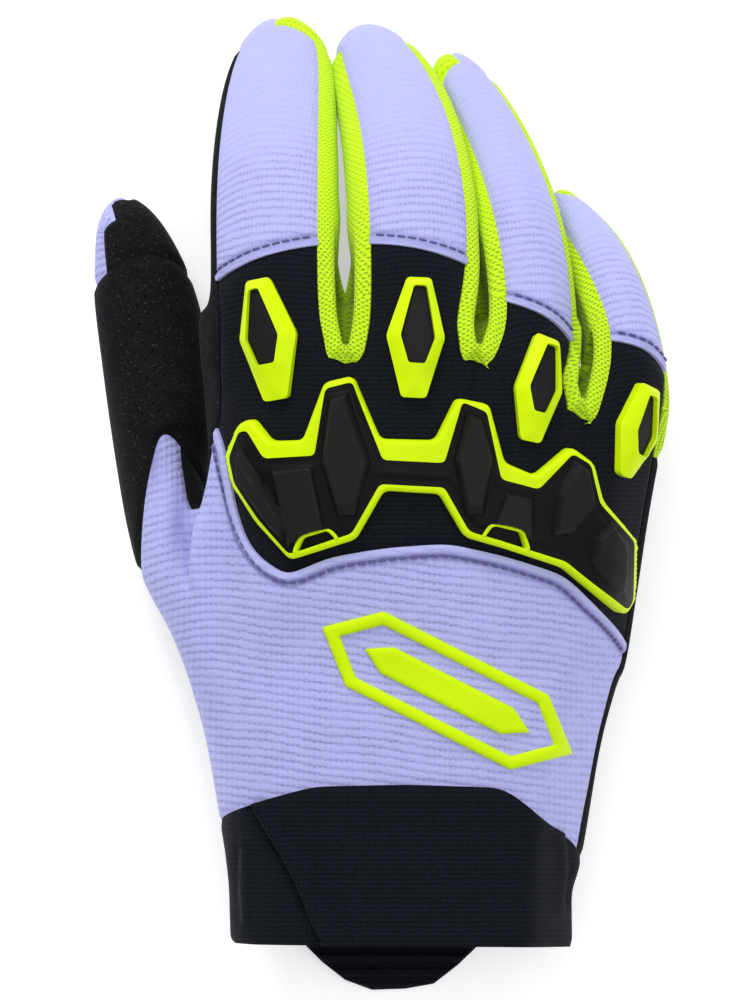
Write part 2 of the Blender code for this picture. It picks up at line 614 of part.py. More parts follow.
def faced_out(mesh):
    """The mesh in triangles, with its faces turned outwards."""
    bm = bmesh.new()
    bm.from_mesh(mesh)
    bmesh.ops.recalc_face_normals(bm, faces=bm.faces[:])
    bmesh.ops.triangulate(bm, faces=bm.faces[:])
    bm.to_mesh(mesh)
    bm.free()
    return mesh


def finer(outline, parts):
    """The outline with each side cut into equal parts."""
    ends = outline[1:] + outline[:1]
    return [(a[0] + (b[0] - a[0]) * k / parts, a[1] + (b[1] - a[1]) * k / parts)
            for a, b in zip(outline, ends) for k in range(parts)]


def drawn_in(outline, distance):
    """The outline, given clockwise, moved inwards by a distance."""
    moved = []
    for before, here, after in zip(outline[-1:] + outline[:-1], outline, outline[1:] + outline[:1]):
        p, q, r = (Vector(v) for v in (before, here, after))
        u, v = (q - p).normalized(), (r - q).normalized()
        inward = (Vector((u.y, -u.x)) + Vector((v.y, -v.x))).normalized()
        moved.append(tuple(q + inward * distance / max(0.5, inward.dot(Vector((u.y, -u.x))))))
    return moved


def plate(name, surface, outline, lift, thickness):
    """A plate of even thickness that follows the skin under an outline seen from above."""
    bm = bmesh.new()
    bm.faces.new([bm.verts.new((x, y, 0)) for x, y in outline])
    for axis in (0, 1):
        low, high = min(p[axis] for p in outline), max(p[axis] for p in outline)
        cuts = math.ceil((high - low) / PLATE_STEP)
        for k in range(1, cuts):
            at, across = Vector((0, 0, 0)), Vector((0, 0, 0))
            at[axis] = low + (high - low) * k / cuts
            across[axis] = 1.0
            whole = bm.verts[:] + bm.edges[:] + bm.faces[:]
            bmesh.ops.bisect_plane(bm, geom=whole, dist=0.0003, plane_co=at, plane_no=across)
    bmesh.ops.triangulate(bm, faces=bm.faces[:])
    flat = [(v.co.x, v.co.y) for v in bm.verts]
    faces = [tuple(v.index for v in f.verts) for f in bm.faces]
    bm.free()
    count = len(flat)
    points = [surface.place(x, y, lift) for x, y in flat]
    points += [surface.place(x, y, lift + thickness) for x, y in flat]
    directed = {(a, b) for face in faces for a, b in zip(face, face[1:] + face[:1])}
    border = sorted((a, b) for a, b in directed if (b, a) not in directed)
    solid = [tuple(v + count for v in face) for face in faces] + [face[::-1] for face in faces]
    solid += [(a, b, b + count, a + count) for a, b in border]
    mesh = bpy.data.meshes.new(name)
    mesh.from_pydata([tuple(p) for p in points], [], solid)
    return faced_out(mesh)


def united(mesh, additions):
    """The mesh with other solids joined to it."""
    holder = bpy.data.objects.new("joined", mesh)
    bpy.context.scene.collection.objects.link(holder)
    helpers = []
    for number, addition in enumerate(additions):
        helper = bpy.data.objects.new(f"addition_{number}", addition)
        bpy.context.scene.collection.objects.link(helper)
        union = holder.modifiers.new(f"union_{number}", "BOOLEAN")
        union.operation, union.solver, union.object = "UNION", "EXACT", helper
        helpers.append(helper)
    result = bpy.data.meshes.new_from_object(holder.evaluated_get(bpy.context.evaluated_depsgraph_get()))
    for helper in helpers + [holder]:
        bpy.data.objects.remove(helper)
    return result


def knuckle_guard(back, finishes, collection):
    """The neon frame and, inside it, the black slab with its raised blocks."""
    outer = finer(spread(GUARD_OUTLINE, GUARD_WIDTH, GUARD_PLACE), 3)
    inner = finer(spread(SLAB_OUTLINE, GUARD_WIDTH, GUARD_PLACE), 3)
    top = PLATE_CLEARANCE + GUARD_FRAME_THICKNESS
    loops = [(outer, PLATE_CLEARANCE), (outer, top), (inner, top), (inner, PLATE_CLEARANCE)]
    add_object("knuckle_guard_frame", lofted("knuckle_guard_frame", back, loops, ring=True),
               finishes["neon"], collection)
    edge = drawn_in(spread(SLAB_OUTLINE, GUARD_WIDTH, GUARD_PLACE), GUARD_JOINT)
    slab = plate("knuckle_guard", back, edge, PLATE_CLEARANCE, GUARD_SLAB_THICKNESS)
    root = PLATE_CLEARANCE + GUARD_SLAB_THICKNESS - BLOCK_ROOT
    blocks = []
    for name, rows in BLOCK_OUTLINES.items():
        corners = spread(rows, GUARD_WIDTH, GUARD_PLACE)
        foot, crest = finer(corners, 2), finer(drawn_in(corners, BLOCK_BEVEL), 2)
        loops = [(foot, root), (foot, root + BLOCK_ROOT * 2), (crest, root + BLOCK_HEIGHT)]
        blocks.append(lofted(name, back, loops))
    add_object("knuckle_guard", united(slab, blocks), finishes["rubber"], collection)


def finger_guard(finger, back, finishes, collection):
    """One neon finger guard with a pocket, and the black inlay in it."""
    place, rows = FINGER_GUARDS[finger]
    foot = finer(spread(rows, FINGER_GUARD_LENGTH, place), 2)
    rim = finer(spread(rows, FINGER_GUARD_LENGTH, place, heads=("inlay_x", "inlay_y")), 2)
    crest = drawn_in(foot, FINGER_GUARD_BEVEL)
    top = PLATE_CLEARANCE + FINGER_GUARD_THICKNESS
    floor = PLATE_CLEARANCE + FINGER_GUARD_FLOOR
    middle = tuple(np.mean(foot, axis=0))
    heart = [((x + middle[0]) / 2, (y + middle[1]) / 2) for x, y in foot]
    loops = [(heart, PLATE_CLEARANCE), (foot, PLATE_CLEARANCE), (foot, top - FINGER_GUARD_BEVEL),
             (crest, top), (rim, top), (rim, floor)]
    name = f"finger_guard_{finger}"
    add_object(name, lofted(name, back, loops), finishes["neon"], collection)
    edge = drawn_in(rim, INLAY_CLEARANCE)
    name = f"finger_guard_inlay_{finger}"
    inlay = lofted(name, back, [(edge, floor + PLATE_GAP), (edge, top - INLAY_STEP_DOWN)])
    add_object(name, inlay, finishes["rubber"], collection)


def back_transfer(back, finish, collection):
    """The raised frame on the back of the hand and the bar inside it."""
    lifts = (PLATE_CLEARANCE, PLATE_CLEARANCE + TRANSFER_THICKNESS)
    where = (TRANSFER_LENGTH, TRANSFER_PLACE, TRANSFER_TURN)
    outer = finer(spread(TRANSFER_FRAME, *where), 4)
    inner = finer(spread(TRANSFER_FRAME, *where, heads=("inner_x", "inner_y")), 4)
    loops = [(outer, lifts[0]), (outer, lifts[1]), (inner, lifts[1]), (inner, lifts[0])]
    frame = lofted("back_transfer_frame", back, loops, ring=True)
    add_object("back_transfer_frame", frame, finish, collection)
    core = spread(TRANSFER_CORE, *where)
    add_object("back_transfer_bar", plate("back_transfer_bar", back, core, lifts[0], TRANSFER_THICKNESS),
               finish, collection)


def pull_tab(skin, finish, collection):
    """The tab that lies on the cuff's lower wall, inside it, and reaches out past its end."""
    end = min(v.co.y for v in skin.vertices)
    below = Surface(skin, -1.0, end + 0.002)
    free = [(x, y + end) for x, y in spread(PULL_TAB_OUTLINE, PULL_TAB_WIDTH, (0.0, 0.0))]
    outline = free + [(free[-1][0], end + PULL_TAB_LAP), (free[0][0], end + PULL_TAB_LAP)]
    mesh = plate("pull_tab", below, outline, -FABRIC_WALL - PLATE_CLEARANCE, -PULL_TAB_THICKNESS)
    add_object("pull_tab", mesh, finish, collection)


def main():
    for leftover in list(bpy.data.objects):
        bpy.data.objects.remove(leftover)
    glove = bpy.data.collections.new("motocross_glove")
    bpy.context.scene.collection.children.link(glove)
    lilac = material("lilac_rib_knit", (0.47, 0.46, 0.85), 0.85)
    black_knit = material("black_knit", (0.007, 0.009, 0.013), 0.9)
    neon_mesh = material("neon_mesh", (0.60, 0.98, 0.01), 0.85)
    suede = material("black_suede", (0.007, 0.007, 0.007), 0.95)
    finishes = {"neon": material("neon_rubber", (0.57, 0.96, 0.0), 0.45),
                "rubber": material("black_rubber", (0.017, 0.017, 0.018), 0.5)}
    finish = {name: lilac for name in PIECES}
    finish.update({name: neon_mesh for name in FOURCHETTES + ("side_wall_little",)})
    finish.update({name: black_knit for name in ("cuff", "knuckle_panel")})
    finish.update({name: suede for name in ("palm", "thumb_patch", "thumb_front")})
    cage = glove_cage()
    skin = smooth_skin(cage, SKIN_LEVEL)
    for piece in PIECES:
        panel(skin, piece, finish[piece], glove)
    smooth = smooth_skin(cage, PLATE_SKIN_LEVEL)
    back = Surface(smooth, 1.0)
    knuckle_guard(back, finishes, glove)
    for finger in FINGERS:
        finger_guard(finger, back, finishes, glove)
    back_transfer(back, material("neon_transfer", (0.57, 0.96, 0.0), 0.5), glove)
    pull_tab(smooth, black_knit, glove)
    for mesh in (skin, smooth):
        bpy.data.meshes.remove(mesh)


main()
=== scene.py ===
import math

import bpy
import numpy as np
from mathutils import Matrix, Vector, geometry
from mathutils.bvhtree import BVHTree


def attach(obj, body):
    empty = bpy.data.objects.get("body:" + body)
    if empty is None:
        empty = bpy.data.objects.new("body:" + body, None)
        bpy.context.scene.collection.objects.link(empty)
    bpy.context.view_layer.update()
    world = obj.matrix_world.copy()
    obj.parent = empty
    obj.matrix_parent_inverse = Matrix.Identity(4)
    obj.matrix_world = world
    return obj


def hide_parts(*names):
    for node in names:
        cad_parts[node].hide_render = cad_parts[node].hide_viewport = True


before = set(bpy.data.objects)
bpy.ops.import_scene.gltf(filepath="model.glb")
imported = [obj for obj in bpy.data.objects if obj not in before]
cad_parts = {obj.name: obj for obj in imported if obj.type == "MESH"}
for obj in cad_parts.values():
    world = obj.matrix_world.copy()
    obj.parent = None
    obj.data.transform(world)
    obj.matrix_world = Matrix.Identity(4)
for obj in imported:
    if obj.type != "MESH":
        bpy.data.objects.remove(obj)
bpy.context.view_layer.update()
print("frame loaded:", len(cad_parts), "pieces")

# Sizes of a size L glove in metres; the tables below hold shares of them.
palmWidth, handLength, knuckleHeight = 0.107, 0.180, 0.060
guardWidth, guardPlace = 0.869 * palmWidth, (0.0559, 0.4087)
fingerGuardLength = 0.0283
transferLength, transferPlace, transferTurn = 0.064, (0.085, 0.128), -27.0
pullTabWidth, pullTabLap = 0.041, 0.008

handSections = (
    ("section", "xLeft", "x0", "x1", "x2", "xRight", "yLeft", "y0", "y1", "y2", "yRight",
     "dip", "crown", "side", "under", "tongue", "rise", "height", "arch", "slope", "half", "valley"),
    ("cuff_end", -0.386, -0.18, 0.005, 0.19, 0.366, -0.197, -0.198, -0.199, -0.200, -0.201,
     0.0, 0.0, 0.0, 0.0, 0.052, 0.0, 0.355, 0.0, 0.0, 0.375, 0.0),
    ("cuff_middle", -0.388, -0.182, 0.005, 0.195, 0.366, -0.115, -0.108, -0.108, -0.110, -0.125,
     0.0, 0.0, 0.0, 0.0, 0.052, 0.0, 0.365, 0.0, 0.0, 0.39, 0.0),
    ("hem", -0.407, -0.20, 0.0, 0.21, 0.384, -0.034, 0.014, 0.017, 0.012, -0.100,
     0.0, 0.0, 0.0, 0.050, 0.055, 0.0, 0.385, 0.02, 0.0, 0.42, 0.0),
    ("heel", -0.436, -0.225, 0.0, 0.23, 0.421, 0.082, 0.082, 0.085, 0.082, 0.045,
     0.0, 0.0, 0.0, 0.035, 0.055, 0.0, 0.405, 0.035, 0.0, 0.44, 0.0),
    ("palm", -0.440, -0.22, 0.015, 0.262, 0.452, 0.160, 0.162, 0.162, 0.152, 0.112,
     0.0, 0.0, 0.0, 0.015, 0.055, 0.0, 0.455, 0.08, 0.03, 0.41, 0.0),
    ("back", -0.445, -0.20, 0.043, 0.298, 0.472, 0.270, 0.225, 0.228, 0.200, 0.150,
     0.02, 0.0, 0.012, 0.0, 0.055, 0.0, 0.53, 0.11, 0.05, 0.38, 0.0),
    ("seam", -0.441, -0.175, 0.090, 0.346, 0.484, 0.560, 0.278, 0.303, 0.260, 0.148,
     0.205, -0.006, 0.070, 0.0, 0.058, 0.0, 0.60, 0.14, 0.07, 0.35, 0.0),
    ("knuckle", -0.452, -0.144, 0.127, 0.372, 0.526, 0.540, 0.440, 0.446, 0.400, 0.330,
     0.0, 0.0, 0.0, 0.0, 0.030, 0.0, 0.70, 0.17, 0.08, 0.30, 0.02),
    ("tongue", -0.454, -0.131, 0.159, 0.383, 0.558, 0.590, 0.550, 0.552, 0.474, 0.430,
     0.0, 0.015, 0.0, 0.0, 0.012, 0.022, 0.755, 0.20, 0.085, 0.25, 0.07),
    ("crotch", -0.454, -0.133, 0.155, 0.376, 0.577, 0.615, 0.600, 0.604, 0.526, 0.490,
     0.0, 0.030, 0.0, 0.0, 0.045, 0.0, 0.770, 0.205, 0.087, 0.225, 0.16),
)

# Finger sections from the seam above the knuckle to the tip. x and width (half of it) are
# shares of palmWidth, y of handLength, z and depth (half the thickness) of knuckleHeight.
# skew turns the section about the vertical, in degrees.
fingerSections = {
    "index": (
        ("x", "y", "z", "width", "depth", "skew"),
        (-0.288, 0.660, 0.745, 0.145, 0.200, 22.0),
        (-0.293, 0.775, 0.610, 0.135, 0.190, 6.0),
        (-0.285, 0.880, 0.350, 0.124, 0.175, 0.0),
        (-0.270, 0.958, 0.105, 0.102, 0.155, -3.0),
    ),
    "middle": (
        ("x", "y", "z", "width", "depth", "skew"),
        (0.015, 0.668, 0.775, 0.137, 0.205, -14.0),
        (0.010, 0.775, 0.640, 0.131, 0.195, -4.0),
        (-0.023, 0.874, 0.370, 0.116, 0.180, 6.0),
        (-0.083, 0.946, 0.105, 0.087, 0.155, 16.0),
    ),
    "ring": (
        ("x", "y", "z", "width", "depth", "skew"),
        (0.272, 0.578, 0.715, 0.114, 0.190, -26.0),
        (0.258, 0.702, 0.595, 0.104, 0.180, -6.0),
        (0.194, 0.824, 0.330, 0.088, 0.165, 12.0),
        (0.106, 0.914, 0.100, 0.070, 0.145, 24.0),
    ),
    "little": (
        ("x", "y", "z", "width", "depth", "skew"),
        (0.480, 0.540, 0.560, 0.097, 0.175, -28.0),
        (0.450, 0.622, 0.440, 0.088, 0.160, -8.0),
        (0.395, 0.698, 0.245, 0.075, 0.140, 14.0),
        (0.330, 0.742, 0.090, 0.055, 0.120, 28.0),
    ),
}
fingers = tuple(fingerSections)
fingerRoll = {"index": -4.0, "middle": 4.0, "ring": 12.0, "little": 22.0}
fingerTip = {"index": 0.046, "middle": 0.046, "ring": 0.046, "little": 0.036}
tipCover = {"index": ("left",), "middle": ("left", "right"), "ring": ("right",), "little": ("left",)}

thumbSections = (
    ("x", "y", "z", "width", "depth", "skew"),
    (-0.450, 0.250, 0.365, 0.080, 0.280, 50.0),
    (-0.512, 0.330, 0.275, 0.090, 0.225, 24.0),
    (-0.524, 0.440, 0.235, 0.103, 0.215, 6.0),
    (-0.542, 0.560, 0.200, 0.111, 0.205, 2.0),
    (-0.570, 0.655, 0.180, 0.103, 0.190, 8.0),
    (-0.609, 0.731, 0.150, 0.066, 0.145, 14.0),
)
thumbSeamSection, thumbPatchSection = 1, 4
thumbStaggers = {  # how far ahead each of a ring's points stands, as shares of handLength
    thumbSeamSection: (0.150, 0.115, 0.06, 0.03, 0.02, 0.0, 0.0, 0.0, -0.05, -0.06, -0.01, 0.08),
    thumbPatchSection: (0.04, 0.03, 0.0, -0.02, -0.02, 0.0, 0.0, 0.0, 0.0, 0.0, 0.015, 0.035),
}

# Degrees round from the top, clockwise as seen from the cuff, of each ring's points.
fingerAngles = {
    "index": (-96.0, -10.0, 68.0, 90.0, 112.0, 136.0, 180.0, -144.0, -126.0, -111.0),
    "middle": (-60.0, 2.0, 70.0, 90.0, 112.0, 136.0, 180.0, -136.0, -108.0, -83.0),
    "ring": (-58.0, 8.0, 96.0, 108.0, 121.0, 136.0, 180.0, -136.0, -108.0, -80.0),
    "little": (-60.0, 4.0, 84.0, 99.0, 115.0, 136.0, 180.0, -136.0, -108.0, -83.0),
}
thumbAngles = tuple(range(15, 360, 30))
sideAngles = {"topLeft": -68.0, "topRight": 99.0,
              "right": (107.0, 116.0, 127.0), "left": (-124.0, -108.0, -92.0)}

# The knuckle guard's frame, its black slab and the slab's raised blocks, as shares of guardWidth.
guardOutline = (
    ("x", "y"),
    (-0.467, 0.114), (-0.438, 0.129), (-0.393, 0.072), (-0.316, 0.074), (-0.267, 0.215),
    (-0.195, 0.230), (-0.129, 0.077), (0.002, 0.074), (0.054, 0.178), (0.136, 0.161),
    (0.171, 0.020), (0.245, -0.012), (0.329, 0.059), (0.388, 0.017), (0.408, -0.074),
    (0.486, -0.173), (0.481, -0.321), (0.455, -0.356), (0.314, -0.240), (0.166, -0.190),
    (0.074, -0.163), (0.012, -0.057), (-0.121, -0.049), (-0.188, -0.168), (-0.346, -0.220),
    (-0.428, -0.124), (-0.484, -0.030), (-0.497, 0.037),
)
slabOutline = (
    ("x", "y"),
    (-0.460, 0.096), (-0.442, 0.099), (-0.403, 0.030), (-0.287, 0.037), (-0.264, 0.200),
    (-0.193, 0.215), (-0.124, 0.027), (0.022, 0.020), (0.064, 0.168), (0.129, 0.143),
    (0.161, -0.020), (0.250, -0.044), (0.329, 0.042), (0.376, 0.015), (0.396, -0.079),
    (0.472, -0.173), (0.469, -0.319), (0.455, -0.341), (0.314, -0.222), (0.166, -0.173),
    (0.084, -0.148), (0.022, -0.040), (-0.131, -0.032), (-0.198, -0.153), (-0.346, -0.205),
    (-0.415, -0.119), (-0.470, -0.030), (-0.482, 0.032),
)
blockOutlines = {
    "first": (("x", "y"), (-0.460, 0.070), (-0.425, 0.010), (-0.345, -0.115), (-0.350, -0.180),
              (-0.388, -0.140), (-0.460, -0.025)),
    "second": (("x", "y"), (-0.254, 0.180), (-0.203, 0.190), (-0.150, 0.020), (-0.188, -0.110),
               (-0.232, -0.115), (-0.272, 0.020)),
    "third": (("x", "y"), (0.072, 0.145), (0.118, 0.128), (0.144, 0.030), (0.118, -0.111),
              (0.074, -0.111), (0.042, 0.025)),
    "fourth": (("x", "y"), (0.334, 0.027), (0.368, 0.005), (0.384, -0.082), (0.326, -0.156),
               (0.272, -0.161), (0.287, -0.054)),
    "fifth": (("x", "y"), (0.418, -0.120), (0.448, -0.182), (0.443, -0.296), (0.428, -0.304),
              (0.366, -0.227), (0.376, -0.160)),
}

# Finger guards. The place of each on the hand is given in shares of palmWidth and
# handLength, its outline and its inlay's outline in shares of fingerGuardLength.
fingerGuards = {
    "index": ((-0.294, 0.575), (
        ("x", "y", "inlayX", "inlayY"),
        (-0.162, 0.463, -0.122, 0.390), (0.008, 0.496, -0.057, 0.406), (0.227, 0.049, 0.106, 0.032),
        (0.162, -0.471, 0.081, -0.187), (-0.016, -0.504, -0.049, -0.211), (-0.211, -0.008, -0.138, -0.008))),
    "middle": ((0.017, 0.577), (
        ("x", "y", "inlayX", "inlayY"),
        (-0.065, 0.479, -0.015, 0.406), (0.114, 0.471, 0.073, 0.398), (0.227, -0.016, 0.146, -0.016),
        (0.081, -0.487, 0.071, -0.211), (-0.114, -0.479, -0.057, -0.203), (-0.227, 0.008, -0.116, 0.008))),
    "ring": ((0.275, 0.511), (
        ("x", "y", "inlayX", "inlayY"),
        (-0.016, 0.447, 0.036, 0.357), (0.146, 0.382, 0.105, 0.333), (0.179, -0.032, 0.120, -0.016),
        (0.016, -0.431, 0.045, -0.187), (-0.138, -0.398, -0.050, -0.162), (-0.179, 0.024, -0.085, 0.032))),
    "little": ((0.484, 0.4585), (
        ("x", "y", "inlayX", "inlayY"),
        (0.032, 0.398, 0.053, 0.309), (0.171, 0.333, 0.105, 0.284), (0.146, -0.073, 0.088, -0.032),
        (-0.065, -0.382, 0.012, -0.195), (-0.146, -0.341, -0.050, -0.162), (-0.138, 0.065, -0.050, 0.024))),
}

# A raised frame and its core on the back of the hand, as shares of transferLength.
transferFrame = (
    ("x", "y", "innerX", "innerY"),
    (-0.500, 0.000, -0.430, 0.000), (-0.330, 0.150, -0.311, 0.107), (0.330, 0.150, 0.311, 0.107),
    (0.500, 0.000, 0.430, 0.000), (0.330, -0.150, 0.311, -0.107), (-0.330, -0.150, -0.311, -0.107),
)
transferBar = (
    ("x", "y"),
    (-0.330, 0.000), (-0.240, 0.052), (0.240, 0.052), (0.330, 0.000), (0.240, -0.052), (-0.240, -0.052),
)
pullTabOutline = (
    ("x", "y"), (-0.566, 0.0), (-0.477, -0.090), (-0.348, -0.191), (-0.196, -0.247),
    (-0.006, -0.240), (0.151, -0.212), (0.286, -0.107), (0.398, 0.0),
)

pieces = (
    "cuff", "back_panel", "knuckle_panel", "palm",
    "finger_back_index", "finger_back_middle", "finger_back_ring", "finger_back_little",
    "fourchette_index_middle", "fourchette_middle_ring", "fourchette_ring_little",
    "side_wall_little", "thumb_patch", "thumb_front", "thumb_back",
)
label = {piece: number for number, piece in enumerate(pieces)}
meshStrips = pieces[8:11]
smoothness = {"level": 4, "sectionPower": 2.5, "fingerPower": 2.15, "shrink": 0.935}
# Where a fingertip's points lie: ahead of the last ring in shares of the tip, and the two
# middle ones between its top and underside; the thumb's tip is a share of handLength.
tipValues = {"rise": 0.45, "upper": 0.32, "lower": 0.68, "thumb": 0.030, "clothAllowance": 0.004}
topSide = 0.62 * knuckleHeight  # the hand's upper side is higher than this between the fingers


def table(rows):
    # Each row after the first, as a dictionary keyed by the first.
    return [dict(zip(rows[0], row)) for row in rows[1:]]


def sectionPoint(angle, power):
    # across = sign(sin a) |sin a|^(2/power), up = sign(cos a) |cos a|^(2/power)
    s, c = math.sin(math.radians(angle)), math.cos(math.radians(angle))
    return math.copysign(abs(s) ** (2 / power), s), math.copysign(abs(c) ** (2 / power), c)


def handRing(row):
    # One section across the hand: z = height - arch a^2 - slope a +- half (1 - |a|^p)^(1/p),
    # with a the place across from -1 to 1.
    power = smoothness["sectionPower"]
    xs = [row[k] for k in ("xLeft", "x0", "x1", "x2", "xRight")]
    ys = [row[k] for k in ("yLeft", "y0", "y1", "y2", "yRight")]
    middle, half = (xs[0] + xs[4]) / 2, (xs[4] - xs[0]) / 2

    def point(x, y, across, up, sink=0.0):
        z = row["height"] - row["arch"] * across ** 2 - row["slope"] * across + row["half"] * up - sink
        return Vector((x * palmWidth, y * handLength, z * knuckleHeight))

    def inner(x, y, side, sink=0.0):
        across = (x - middle) / half
        return point(x, y, across, side * (1 - min(abs(across), 1.0) ** power) ** (1 / power), side * sink)

    def edge(angle, y):
        across, up = sectionPoint(angle, power)
        return point(middle + across * half, y, across, up)

    top, under = [], []
    for lane in range(4):
        xa, xb, ya, yb = xs[lane], xs[lane + 1], ys[lane], ys[lane + 1]
        crownX, crownY = (xa + xb) / 2, (ya + yb) / 2 - row["crown"] - (row["dip"] if lane == 0 else 0.0)
        leftX, rightX = xa + row["tongue"], xb - row["tongue"]
        leftY = ya + (crownY - ya) * (leftX - xa) / (crownX - xa) + row["rise"]
        rightY = yb + (crownY - yb) * (xb - rightX) / (xb - crownX) + row["rise"]
        top.append(edge(sideAngles["topLeft"], ya) if lane == 0 else inner(leftX, leftY, 1))
        top.append(inner(crownX, crownY, 1))
        top.append(edge(sideAngles["topRight"], yb) if lane == 3 else inner(rightX, rightY, 1))
        if lane < 3:
            top.append(inner(xb, yb, 1, row["valley"]))
        under.append(inner(crownX, (ya + yb) / 2 - row["under"], -1))
        if lane < 3:
            under.append(inner(xb, yb - row["under"], -1, row["valley"]))
    right = [edge(a, ys[4] - row["under"] * (i + 1) / 4) for i, a in enumerate(sideAngles["right"])]
    left = [edge(a, ys[0] - row["side"] - row["under"] * (3 - i) / 4)
            for i, a in enumerate(sideAngles["left"])]
    webs = [(top[4 * lane + 3] + under[2 * lane + 1]) / 2 for lane in range(3)]
    return top + right + under[::-1] + left, webs


def tubeRing(centre, ahead, row, roll, angles, stagger=None):
    # centre + across w side + up d lift, the section turned by skew and roll.
    skew, lean = math.radians(row["skew"]), math.radians(roll)
    across = Vector((math.cos(skew) * math.cos(lean), math.sin(skew) * math.cos(lean), -math.sin(lean)))
    up = across.cross(ahead).normalized()
    width = row["width"] * palmWidth / smoothness["shrink"]
    depth = row["depth"] * knuckleHeight / smoothness["shrink"]
    points = []
    for number, angle in enumerate(angles):
        side, lift = sectionPoint(angle, smoothness["fingerPower"])
        slide = ahead * (stagger[number] * handLength if stagger else 0.0)
        points.append(centre + across * side * width + up * lift * depth + slide)
    return points


def tubePath(rows):
    centres = [Vector((r["x"] * palmWidth, r["y"] * handLength, r["z"] * knuckleHeight)) for r in rows]
    last = len(centres) - 1
    ahead = [(centres[min(i + 1, last)] - centres[max(i - 1, 0)]).normalized() for i in range(last + 1)]
    return centres, ahead


class Cage:
    # Coarse four-sided faces of the whole glove, each with its panel and its place on the cloth.
    def __init__(self):
        self.points, self.faces, self.labels, self.cloth = [], [], [], []

    def add(self, points):
        first = len(self.points)
        self.points.extend(points)
        return list(range(first, len(self.points)))

    def face(self, corners, piece, cloth):
        self.faces.append(corners)
        self.labels.append(label[piece])
        self.cloth.append(cloth)

    def girth(self, ring):
        # Distance round a ring of points, from its first point.
        places = [self.points[i] for i in ring + ring[:1]]
        steps = [0.0] + [(b - a).length for a, b in zip(places, places[1:])]
        return list(np.cumsum(steps))

    def band(self, before, after, alongBefore, alongAfter, pieceOf, skip=()):
        roundBefore, roundAfter = self.girth(before), self.girth(after)
        count = len(before)
        for c in range(count):
            d = (c + 1) % count
            if c in skip:
                continue
            cloth = ((roundBefore[c], alongBefore[c]), (roundBefore[c + 1], alongBefore[d]),
                     (roundAfter[c + 1], alongAfter[d]), (roundAfter[c], alongAfter[c]))
            self.face((before[c], before[d], after[d], after[c]), pieceOf(c), cloth)


def handPiece(section, column):
    # Columns 0 to 13 cover the back of the hand, 14 to 17 its right side, 18 to 24 the palm and
    # 25 to 27 its left side.
    if section in ("cuff_end", "cuff_middle"):
        return "cuff"
    if section == "tongue" and column < 14 and column % 4 in (2, 3):
        return meshStrips[column // 4]
    if section == "tongue" and 14 <= column < 17:
        return "side_wall_little"
    if column < 14:
        return "knuckle_panel" if section in ("seam", "knuckle", "tongue") else "back_panel"
    return "back_panel" if section == "hem" and column in (26, 27) else "palm"


def fingerPiece(finger, column, aboveSeam):
    # Columns 0 and 1 are the back, 2 to 4 the right side, 5 and 6 the underside, 7 to 9 the left.
    number = fingers.index(finger)
    if column in (0, 1):
        return f"finger_back_{finger}" if aboveSeam else "knuckle_panel"
    if column in (2, 3, 4):
        return meshStrips[number] if number < 3 else "side_wall_little"
    return meshStrips[number - 1] if column in (7, 8, 9) and number > 0 else "palm"


def thumbPiece(column, section):
    # Columns are twelfths of the way round, clockwise from the top as seen from the cuff.
    if section <= thumbSeamSection:
        return "back_panel" if column in (8, 9, 10, 11, 0) else "palm"
    if section <= thumbPatchSection:
        return "thumb_back" if column in (4, 5, 6, 7) else "thumb_patch"
    return "thumb_back" if column in (4, 5, 6, 7, 8, 9) else "thumb_front"


def heights(cage, ring):
    # How far up the hand each point of a ring is.
    return [cage.points[i].y for i in ring]


def along(cage, ring, start, direction, distance):
    # How far along the cloth each point is, distance being where start is.
    return [distance + (cage.points[i] - start).dot(direction) for i in ring]


def capFace(cage, face, piece, distance):
    # The cloth of a tip runs on past its last ring, downwards.
    end = distance + tipValues["clothAllowance"]
    cage.face(face, piece, tuple((cage.points[i].x, end - cage.points[i].z) for i in face))


def tubeBands(cage, rows, before, roll, angles, staggers, pieceOf, level=False):
    # Four-sided bands from an opening along a tube. Gives its last ring, where it heads and how
    # far along the cloth it is. If level, the cloth runs on from the opening's own heights.
    centres, ahead = tubePath(rows)
    distance = centres[0].y
    alongBefore = heights(cage, before) if level else along(cage, before, centres[0], ahead[0], distance)
    for number, row in enumerate(rows):
        if number:
            distance += (centres[number] - centres[number - 1]).length
        ring = cage.add(tubeRing(centres[number], ahead[number], row, roll, angles, staggers.get(number)))
        alongRing = along(cage, ring, centres[number], ahead[number], distance)
        cage.band(before, ring, alongBefore, alongRing, lambda c: pieceOf(c, number))
        before, alongBefore = ring, alongRing
    return before, ahead[-1], distance


